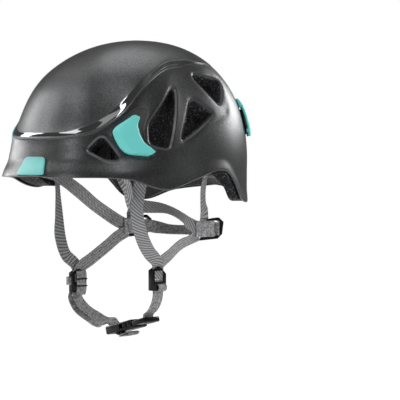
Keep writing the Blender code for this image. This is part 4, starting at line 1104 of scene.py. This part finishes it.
# the near rear strap hangs half edge-on, and the far one lies flat
rearStrap = {
    "leaves": ((0, 0.0050, -0.0050), (0, -0.0095, -0.0115)), "sags": (0.0100, 0.0094),
    "enters": ((-0.0008, 0.0170, 0.0218), (0, 0.0036, 0.0136), (0, 0.0011, 0.0109), (0, 0, 0.0070),
               (0, 0, -0.0012)),
    "first": (0, 0.46, -0.89), "last": (0, 0.96, -0.28),
    "left": [(-0.50, 0.50, -0.70), (-0.42, 0.58, -0.69), (-0.28, 0.60, -0.74), (-0.12, 0.60, -0.79)],
    "right": [(0, 0.46, -0.89), (0, 0.56, -0.83), (0, 0.58, -0.81), (0, 0.6, -0.8)],
}
# the bends are counted from the side of the head cavity
headband = {
    "angle": 48.0, "apart": 1.45, "leaves": ((0, 0, 0), (0, 0, -0.007)),
    "enters": ((0, -0.0095, 0.0072), (0, 0.0050, 0.0010)), "lastSides": ((-0.2, 0.44, 0.88), (0, 0.46, 0.89)),
    "left": {
        "ribs": 1.0, "turn": (1.0, 0.1, 0.0),
        "bends": ((-0.0145, -0.0520, -0.012), (-0.0155, -0.0475, -0.025), (-0.0160, -0.0410, -0.033),
                  (-0.0165, -0.0290, -0.0345), (-0.0180, 0.0000, -0.0375), (-0.0215, 0.0250, -0.0465)),
        "sides": ((1.0, -0.23, -0.13), (1.0, -0.23, -0.13), (0.8, 0.1, 0.45),
                  (-0.35, 0.0, 0.94), (-0.65, 0.0, 0.76), (-0.55, 0.3, 0.78)),
    },
    "right": {
        "ribs": 0.3, "turn": None,
        "bends": ((-0.0150, -0.0560, -0.0020), (-0.0155, -0.0400, -0.0030), (-0.0155, -0.0235, -0.0110),
                  (-0.0155, -0.0060, -0.0215), (-0.0170, 0.0146, -0.0365), (-0.0205, 0.0310, -0.0475)),
        "sides": ((0.0, 0.75, 0.66), (0.0, 0.2, 0.98), (0.0, 0.3, 0.95),
                  (-0.3, 0.0, 0.95), (-0.5, 0.0, 0.87), (-0.45, 0.3, 0.84)),
    },
}
# the hangers sway and turn about their length on the way down; a bend's last number is its share of the sway
hanger = {
    "angle": 125.0, "apart": 1.25, "drop": 0.015, "enters": ((0, 0, 0.006), (0, 0, -0.0050)),
    "bends": ((0.0640, 0.0560, -0.0220, 0.6), (0.0592, 0.0580, -0.0380, 0.25)),
    "left": {"sway": 0.0085, "sides": ((-0.57, 0.82, 0.0), (-0.50, 0.86, 0.0), (-0.48, 0.87, 0.0),
                                       (-0.42, 0.90, 0.0), (-0.25, 0.97, 0.0), (-0.10, 0.99, 0.0))},
    "right": {"sway": -0.0035, "sides": ((0.57, 0.82, 0.0), (0.80, 0.40, 0.0), (0.93, -0.20, 0.0),
                                         (0.93, -0.20, 0.0), (0.70, 0.60, 0.0), (0.10, 0.99, 0.0))},
}

for side, hand in hands:
    x, y, z = sliderForm[hand]
    slider = "slider_" + hand
    loop = (side * napeForm["loop"][0], *napeForm["loop"][1:])
    seam = loop[1] - napeForm["length"] / 2 - fitGap
    underAnchor = anchorForm["front"][2] - fitGap

    form = frontStrap[hand]
    start = strapStart(form["angle"], side, underAnchor)
    route = steps(start, frontStrap["leaves"], side) + steps((x, y, z), form["bends"], side)
    route += steps((x + side * layer, y, z), frontStrap["enters"], side)
    ways = [alongWall(form["angle"], side)] + form["sides"] + [foreAft] * 3
    strap = webbing("front_webbing_" + hand, route, ways, webMaterial, lean=form["lean"])
    hang(strap, "helmet", slider, route[2], route[-3], "front_strap_" + hand)

    back, up = rearStrap["sags"]
    route = steps((loop[0] - side * napeForm["layer"], seam, loop[2]), rearStrap["leaves"], side)
    route += [(loop[0], (y + seam) / 2 + back, (z + loop[2]) / 2 + up)]
    route += steps((x - side * layer, y, z), rearStrap["enters"], side)
    ways = [rearStrap["first"]] + rearStrap[hand] + [rearStrap["last"]] + [foreAft] * 2
    strap = webbing("rear_webbing_" + hand, route, ways, webMaterial, ribs=plainWeave["ribs"])
    hang(strap, "helmet", slider, route[1], route[4], "rear_strap_" + hand)

    form = headband[hand]
    start = strapStart(headband["angle"], side, underAnchor)
    route = steps(start, headband["leaves"], side)
    route += steps((side * cavityForm["halfWidth"], 0, 0), form["bends"], side)
    route += steps((loop[0] + side * napeForm["layer"], seam, loop[2]), headband["enters"], side)
    wall = alongWall(headband["angle"], side)
    ways = [wall, form["turn"] or wall]
    ways += steps((0, 0, 0), form["sides"] + headband["lastSides"], side)
    strap = webbing("headband_webbing_" + hand, route, ways, webMaterial, ribs=(form["ribs"],) * 2,
                    apart=headband["apart"])
    place(strap, "helmet", "webbing", "headband_strap_" + hand)

    sway = hanger[hand]["sway"]
    start = strapStart(hanger["angle"], side, anchorForm["rear"][2] - fitGap)
    route = steps(start, ((0, 0, 0), (0, -sway, -hanger["drop"])))
    route += [(side * out, back - share * sway, up) for out, back, up, share in hanger["bends"]]
    route += steps((loop[0], loop[1], loop[2] + napeForm["top"]), hanger["enters"])
    strap = webbing("hanger_webbing_" + hand, route, hanger[hand]["sides"], webMaterial, lean=0.0,
                    apart=hanger["apart"])
    place(strap, "helmet", "webbing", "hanger_strap_" + hand)

# the nape strap: from frame to frame, bulging to the rear and sagging in the middle
napeStrap = {"passes": 0.0034, "beyond": 0.0045, "within": 0.004, "turns": 0.0003, "bulge": 0.013,
             "sag": 0.0034, "bend": (0.5, 0.75), "leaning": (0.0, 0.72, 0.69)}
form = napeStrap
x, y, z = napeForm["loop"]
y += napeForm["length"] / 2 + form["passes"]
inward, share = form["bend"]
half = [(x + form["beyond"], y, z), (x - form["within"], y + form["turns"], z),
        (x * inward, y + form["bulge"] * share, z - form["sag"])]
rearmost = (0.0, y + form["bulge"], z - form["sag"])
route = [(-out, back, up) for out, back, up in half] + [rearmost] + half[::-1]
ways = [upright] * 2 + [form["leaning"]] * 3 + [upright] * 2
strap = webbing("nape_webbing", route, ways, webMaterial, **plainWeave)
place(strap, "helmet", "webbing", "nape_strap")
print("straps made")

# the nape block: one wide piece of webbing folded round the frame's bar, its ends sewn over the straps
blockForm = {"width": 0.0166, "up": 0.0005, "fold": 0.0019, "bend": (0.7, 0.3), "tacks": (-0.0095, 0.0045),
             "rows": 12, "reach": 0.0070, "stitch": (0.0, 0.0022, 0.0003)}
for side, hand in hands:
    form = blockForm
    x, y, z = side * napeForm["loop"][0], napeForm["loop"][1], napeForm["loop"][2] + form["up"]
    half, fold = napeForm["length"] / 2, form["fold"]
    out, back = form["bend"]
    outer = [(fold, -half, 0), (fold, 0, 0), (fold, half - fold, 0),
             (fold * out, half - fold * back, 0), (0, half, 0)]
    route = steps((x, y, z), outer, side) + steps((x, y, z), outer[-2::-1], -side)
    block = webbing("nape_block_" + hand, route, upright, webMaterial, form["width"], **plainWeave)
    place(block, "helmet", "webbing", "nape_loop_" + hand)
    face = x + side * (fold + webForm["thick"] / 2)
    rows = z + np.linspace(-form["reach"], form["reach"], form["rows"])
    for number, back in enumerate(form["tacks"]):
        starts = np.stack([np.full_like(rows, face), np.full_like(rows, y + back), rows], 1)
        name = "nape_tack_" + hand + "_" + str(number + 1)
        place(stitches(name, starts, form["stitch"], (side, 0, 0), threadMaterial), "helmet", "webbing")

# chin straps: the near one sewn round the tongue's bar, the far one through the socket's adjuster;
# places on the sliders are offsets from their middles, and on the buckle along, across and above it
buckleForm = {"at": (0.0270, -0.0090, -0.1545), "tilt": 14.5}
chinStraps = {
    "leaves": ((0, 0, -0.0015), (0, 0, -0.0126), (0, 0, -0.0156)),
    "left": ((-0.0005, -0.0003, -0.0225), (-0.0070, -0.0005, -0.0325)),
    "leftBuckle": ((0.0228, 0, 0.0050), (0.0224, 0, -0.0010)),
    "leftMiddle": (-0.0035, -0.0005, -0.0275), "leftParts": ((0.0, 0.55), (0.549, 1.0)),
    "right": ((0.0065, 0.001, -0.0250), (0.0250, 0.0035, -0.0350), (0.0420, 0.0025, -0.0400)),
    "rightBuckle": ((-0.0357, 0, 0.0100), (-0.0309, 0, 0.0070), (-0.0297, 0, 0.0035), (-0.0297, 0, -0.0012)),
    "turn": [(0, 0.99, 0.14), (0, 0.94, 0.34), (0, 0.84, 0.54), (0, 0.92, 0.39)],
    "secondLeaves": ((-0.0014, -0.0020, -0.0110), (-0.0024, -0.0032, -0.0165)),
    "second": ((0.0034, -0.0034, -0.0272), (0.0222, -0.0007, -0.0378), (0.0402, -0.0003, -0.0420)),
    "secondBuckle": ((-0.0357, -0.0010, 0.0086), (-0.0325, 0, 0.0062)),
    "tail": ((-0.0239, 0, 0.0010), (-0.0239, 0, -0.0045), (-0.0209, 0, -0.0066), (-0.0119, 0, -0.0072),
             (-0.0039, 0, -0.0070), (-0.0022, 0, -0.0078), (-0.0036, 0, -0.0087), (-0.0110, 0, -0.0090),
             (-0.0190, 0, -0.0086)),
}


def onBuckle(key):  # places on the tilted buckle, by its own three directions
    along, across, above = np.array(chinStraps[key]).T
    tilt = math.radians(buckleForm["tilt"])
    right = math.cos(tilt) * along - math.sin(tilt) * above
    up = math.sin(tilt) * along + math.cos(tilt) * above
    return steps(buckleForm["at"], np.stack([right, across, up], 1))


def leavingSlider(hand, side, key, leaves):  # down out of the slider's slot, then by the route's bends
    x, y, z = sliderForm[hand]
    return steps((x + side * layer, y, z), chinStraps[leaves]) + steps((x, y, z), chinStraps[key])


route = leavingSlider("left", 1, "left", "leaves") + onBuckle("leftBuckle")
middle = steps(sliderForm["left"], [chinStraps["leftMiddle"]])[0]
upper, lower = chinStraps["leftParts"]
strap = webbing("chin_webbing_left_upper", route, foreAft, webMaterial, part=upper, **plainWeave)
hang(strap, "slider_left", "helmet", route[2], middle, "chin_strap_left")
strap = webbing("chin_webbing_left_lower", route, foreAft, webMaterial, part=lower, **plainWeave)
hang(strap, "helmet", "buckle_tongue", middle, route[5])

# the far strap's width turns on its way to the socket
turn = chinStraps["turn"]
route = leavingSlider("right", -1, "right", "leaves") + onBuckle("rightBuckle")
strap = webbing("chin_webbing_right", route, [foreAft] * 3 + turn + [foreAft] * 3, webMaterial, **plainWeave)
hang(strap, "slider_right", "helmet", route[2], route[5], "chin_strap_right")
# the same strap led back on itself: a second layer, a little apart
route = leavingSlider("right", -1, "second", "secondLeaves") + onBuckle("secondBuckle")
ways = [foreAft] * 2 + turn[:3] + [foreAft] * 2
strap = webbing("chin_webbing_right_second", route, ways, webMaterial, **plainWeave)
hang(strap, "slider_right", "helmet", route[1], route[4])

# folds of webbing that stand out of the two sliders, and webbing over the far one's inner face
foldForm = {
    "slider_fold_left": ("left", foreAft, 0.0105, (
        (0.0030, 0.0026, -0.0060), (0.0050, 0.0026, -0.0068), (0.0057, 0.0026, -0.0090),
        (0.0046, 0.0026, -0.0114), (0.0016, 0.0026, -0.0128))),
    "slider_fold_right": ("right", upright, 0.0085, (
        (-0.0030, -0.0060, 0), (-0.0042, -0.0090, 0), (-0.0036, -0.0116, 0), (-0.0012, -0.0122, 0),
        (0.0004, -0.0108, 0), (0.0010, -0.0085, 0))),
    "slider_cover_right": ("right", foreAft, 0.0128, (
        (0.0026, 0.0022, 0.0100), (0.0040, 0.0022, 0.0080), (0.0042, 0.0022, 0.0010),
        (0.0042, 0.0022, -0.0070), (0.0036, 0.0022, -0.0112), (0.0020, 0.0022, -0.0150))),
}
for name, (hand, way, width, offsets) in foldForm.items():
    fold = webbing(name, steps(sliderForm[hand], offsets), way, webMaterial, width, **plainWeave)
    place(fold, "slider_" + hand, "webbing")
# the cover is held by two thin bars
barForm = {"heights": (0.0016, -0.0056), "out": 0.0050, "backs": (-0.0046, 0.00016, 0.00424, 0.0090),
           "width": 0.0015}
for number, up in enumerate(barForm["heights"]):
    route = steps(sliderForm["right"], [(barForm["out"], back, up) for back in barForm["backs"]])
    bar = webbing("slider_bar_right_" + str(number + 1), route, upright, blackMaterial, barForm["width"],
                  ribs=plainWeave["ribs"])
    place(bar, "slider_right", "black")

strap = webbing("tail_webbing", onBuckle("tail"), foreAft, webMaterial, **plainWeave)
place(strap, "helmet", "webbing", "strap_tail")
print("nape blocks and chin straps made")

# moulded parts: copies of their solids with the flat faces joined up and the edges rounded
edgeForm = {"width": 0.0006, "segments": 3, "angle": 28.0, "flat": 1.0, "weld": 1e-6}
mouldedParts = ("slider_left", "slider_right", "buckle_socket", "buckle_tongue", "buckle_prong_front",
                "buckle_prong_rear")


def softened(piece):  # a narrow bevel along the sharp edges
    bevel = piece.modifiers.new("edges", "BEVEL")
    bevel.width, bevel.segments = edgeForm["width"], edgeForm["segments"]
    bevel.limit_method, bevel.angle_limit = "ANGLE", math.radians(edgeForm["angle"])
    bevel.harden_normals = True
    return piece


def rounded(node, material):
    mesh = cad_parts[node].data.copy()
    build = bmesh.new()
    build.from_mesh(mesh)
    bmesh.ops.remove_doubles(build, verts=build.verts, dist=edgeForm["weld"])
    flat = math.radians(edgeForm["flat"])
    bmesh.ops.dissolve_limit(build, angle_limit=flat, verts=build.verts, edges=build.edges)
    build.to_mesh(mesh)
    build.free()
    mesh.materials.clear()
    mesh.materials.append(material)
    mesh.shade_smooth()
    piece = bpy.data.objects.new(node + "_moulded", mesh)
    bpy.context.scene.collection.objects.link(piece)
    return softened(piece)


# the nape frame's outline and window, as distances to the rear and up, from the lower front corner
napeFrame = {
    "outline": ((0.0535, -0.0714), (0.0775, -0.0702), (0.0838, -0.0655), (0.0858, -0.0530), (0.0795, -0.0484),
                (0.0700, -0.0490), (0.0640, -0.0500)),
    "window": ((0.0600, -0.0680), (0.0768, -0.0671), (0.0806, -0.0645), (0.0822, -0.0540), (0.0785, -0.0516),
               (0.0705, -0.0516), (0.0668, -0.0520)),
    "inside": 0.0022, "outside": 0.0042, "leaves": (0.0735, 0.0020),
}


# both lines carried across a depth that grows where the frame leaves the folded webbing
def buildNapeFrame(name, side, material):
    form = napeFrame
    rows = []
    for line, face in (("outline", 1), ("window", 1), ("window", -1), ("outline", -1)):
        spots = np.array(form[line])
        deep = form["inside"] + (form["outside"] - form["inside"]) * fade(spots[:, 0], form["leaves"])
        rows.append(np.column_stack([side * napeForm["loop"][0] + face * deep / 2, spots]))
    index = np.arange(4 * len(spots)).reshape(4, -1)[[0, 1, 2, 3, 0]]
    return softened(addPiece(name, np.concatenate(rows), stripQuads(index), material))


for node in mouldedParts:
    body = "helmet" if node == "buckle_socket" else node
    place(rounded(node, blackMaterial), body, "black", node)
for side, hand in hands:
    piece = buildNapeFrame("nape_frame_" + hand + "_moulded", side, blackMaterial)
    place(piece, "helmet", "black", "nape_frame_" + hand)
print("moulded parts made")

# stage: a pale floor, soft lamps and the camera at the photograph's angle
stageForm = {
    "floorDrop": 0.004, "floorSize": 0.75, "floor": (0.9, 0.9, 0.9), "floorRough": 0.9,
    "glow": 1.04, "seen": 0.9,
    "ambient": (0.72, 0.72, 0.73), "mirrored": (0.10, 0.10, 0.10), "white": (1.0, 1.0, 1.0),
    "azimuth": 47.0, "elevation": 1.6, "distance": 1.75, "lens": 154.35, "sensor": 36.0,
    "right": 0.07776, "up": -0.0301,
}
# lamps: azimuth from the front to the wearer's left, elevation, distance, width, height, radiance
lampForm = {
    "overhead": (-140, 72, 1.30, 0.95, 0.95, 2.4),
    "right strip": (-69, 18, 1.20, 0.26, 0.62, 10.0),
    "right upper": (-75, 50, 1.30, 0.80, 0.60, 1.0),
    "front": (-9, 13, 1.30, 0.20, 0.32, 9.0),
    "front upper": (-30, 43, 1.25, 0.56, 0.20, 4.2),
    "left upper": (71, 43, 1.20, 0.24, 0.20, 9.5),
    "rear strip": (172, 20, 1.20, 0.70, 0.42, 11.0),
    "key": (40, 62, 1.50, 1.00, 0.80, 1.2),
    "rear right": (-84, 3, 1.20, 0.20, 0.30, 10.0),
}
lampMiddle = (0.0, 0.0, 0.03)


def directionOf(azimuth, elevation):
    turn, tip = math.radians(azimuth), math.radians(elevation)
    return np.array([math.sin(turn) * math.cos(tip), -math.cos(turn) * math.cos(tip), math.sin(tip)])


def facingAlong(direction):  # the rotation that turns a lamp's or camera's back to a direction
    return Vector(direction.tolist()).to_track_quat("Z", "Y").to_euler()


def buildFloor():
    form = stageForm
    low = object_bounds()[0][2] - form["floorDrop"]
    half = form["floorSize"]
    corners = np.array([(-half, -half, low), (half, -half, low), (half, half, low), (-half, half, low)])
    material, wire = newMaterial("pale floor")
    dressed(material, {"Base Color": form["floor"], "Roughness": form["floorRough"]})
    nodes = material.node_tree.nodes
    share = wire.node("LightPath", output="Is Camera Ray") * form["seen"]
    matt = Wire(wire.tree, nodes["Principled BSDF"].outputs[0])
    glow = wire.node("Emission", None, {"Color": form["white"], "Strength": form["glow"]})
    mixed = wire.node("MixShader", None, {0: share, 1: matt, 2: glow})
    wire.plug(mixed, nodes["Material Output"].inputs["Surface"])
    addPiece("floor", corners, np.array([[0, 1, 2, 3]]), material)


def buildWorld():
    form = stageForm
    world = bpy.data.worlds.new("studio")
    bpy.context.scene.world = world
    world.use_nodes = True
    wire = Wire(world.node_tree)
    seen, mirrored, through = (wire.node("LightPath", output="Is " + kind + " Ray")
                               for kind in ("Camera", "Glossy", "Transmission"))
    tint = wire.mix(mirrored, form["ambient"], form["mirrored"])
    tint = wire.mix((seen + through).clipped(), tint, form["white"])
    wire.plug(tint, world.node_tree.nodes["Background"].inputs["Color"])


def buildLamps():
    for name, (azimuth, elevation, distance, width, height, radiance) in lampForm.items():
        data = bpy.data.lights.new(name, "AREA")
        data.shape = "RECTANGLE"
        data.size, data.size_y = width, height
        data.energy = radiance * math.pi * width * height
        lamp = bpy.data.objects.new(name, data)
        direction = directionOf(azimuth, elevation)
        lamp.location = direction * distance + np.array(lampMiddle)
        lamp.rotation_euler = facingAlong(direction)
        bpy.context.scene.collection.objects.link(lamp)


def buildCamera():
    form = stageForm
    back = directionOf(form["azimuth"], form["elevation"])
    turn = math.radians(form["azimuth"])
    right = np.array([math.cos(turn), math.sin(turn), 0.0])
    up = np.cross(back, right)
    data = bpy.data.cameras.new("camera")
    data.lens, data.sensor_width = form["lens"], form["sensor"]
    camera = bpy.data.objects.new("camera", data)
    camera.location = right * form["right"] + up * form["up"] + back * form["distance"]
    camera.rotation_euler = facingAlong(back)
    bpy.context.scene.collection.objects.link(camera)
    bpy.context.scene.camera = camera
    bpy.context.scene.view_settings.view_transform = "Standard"


buildFloor()
buildWorld()
buildLamps()
buildCamera()
print("stage made")
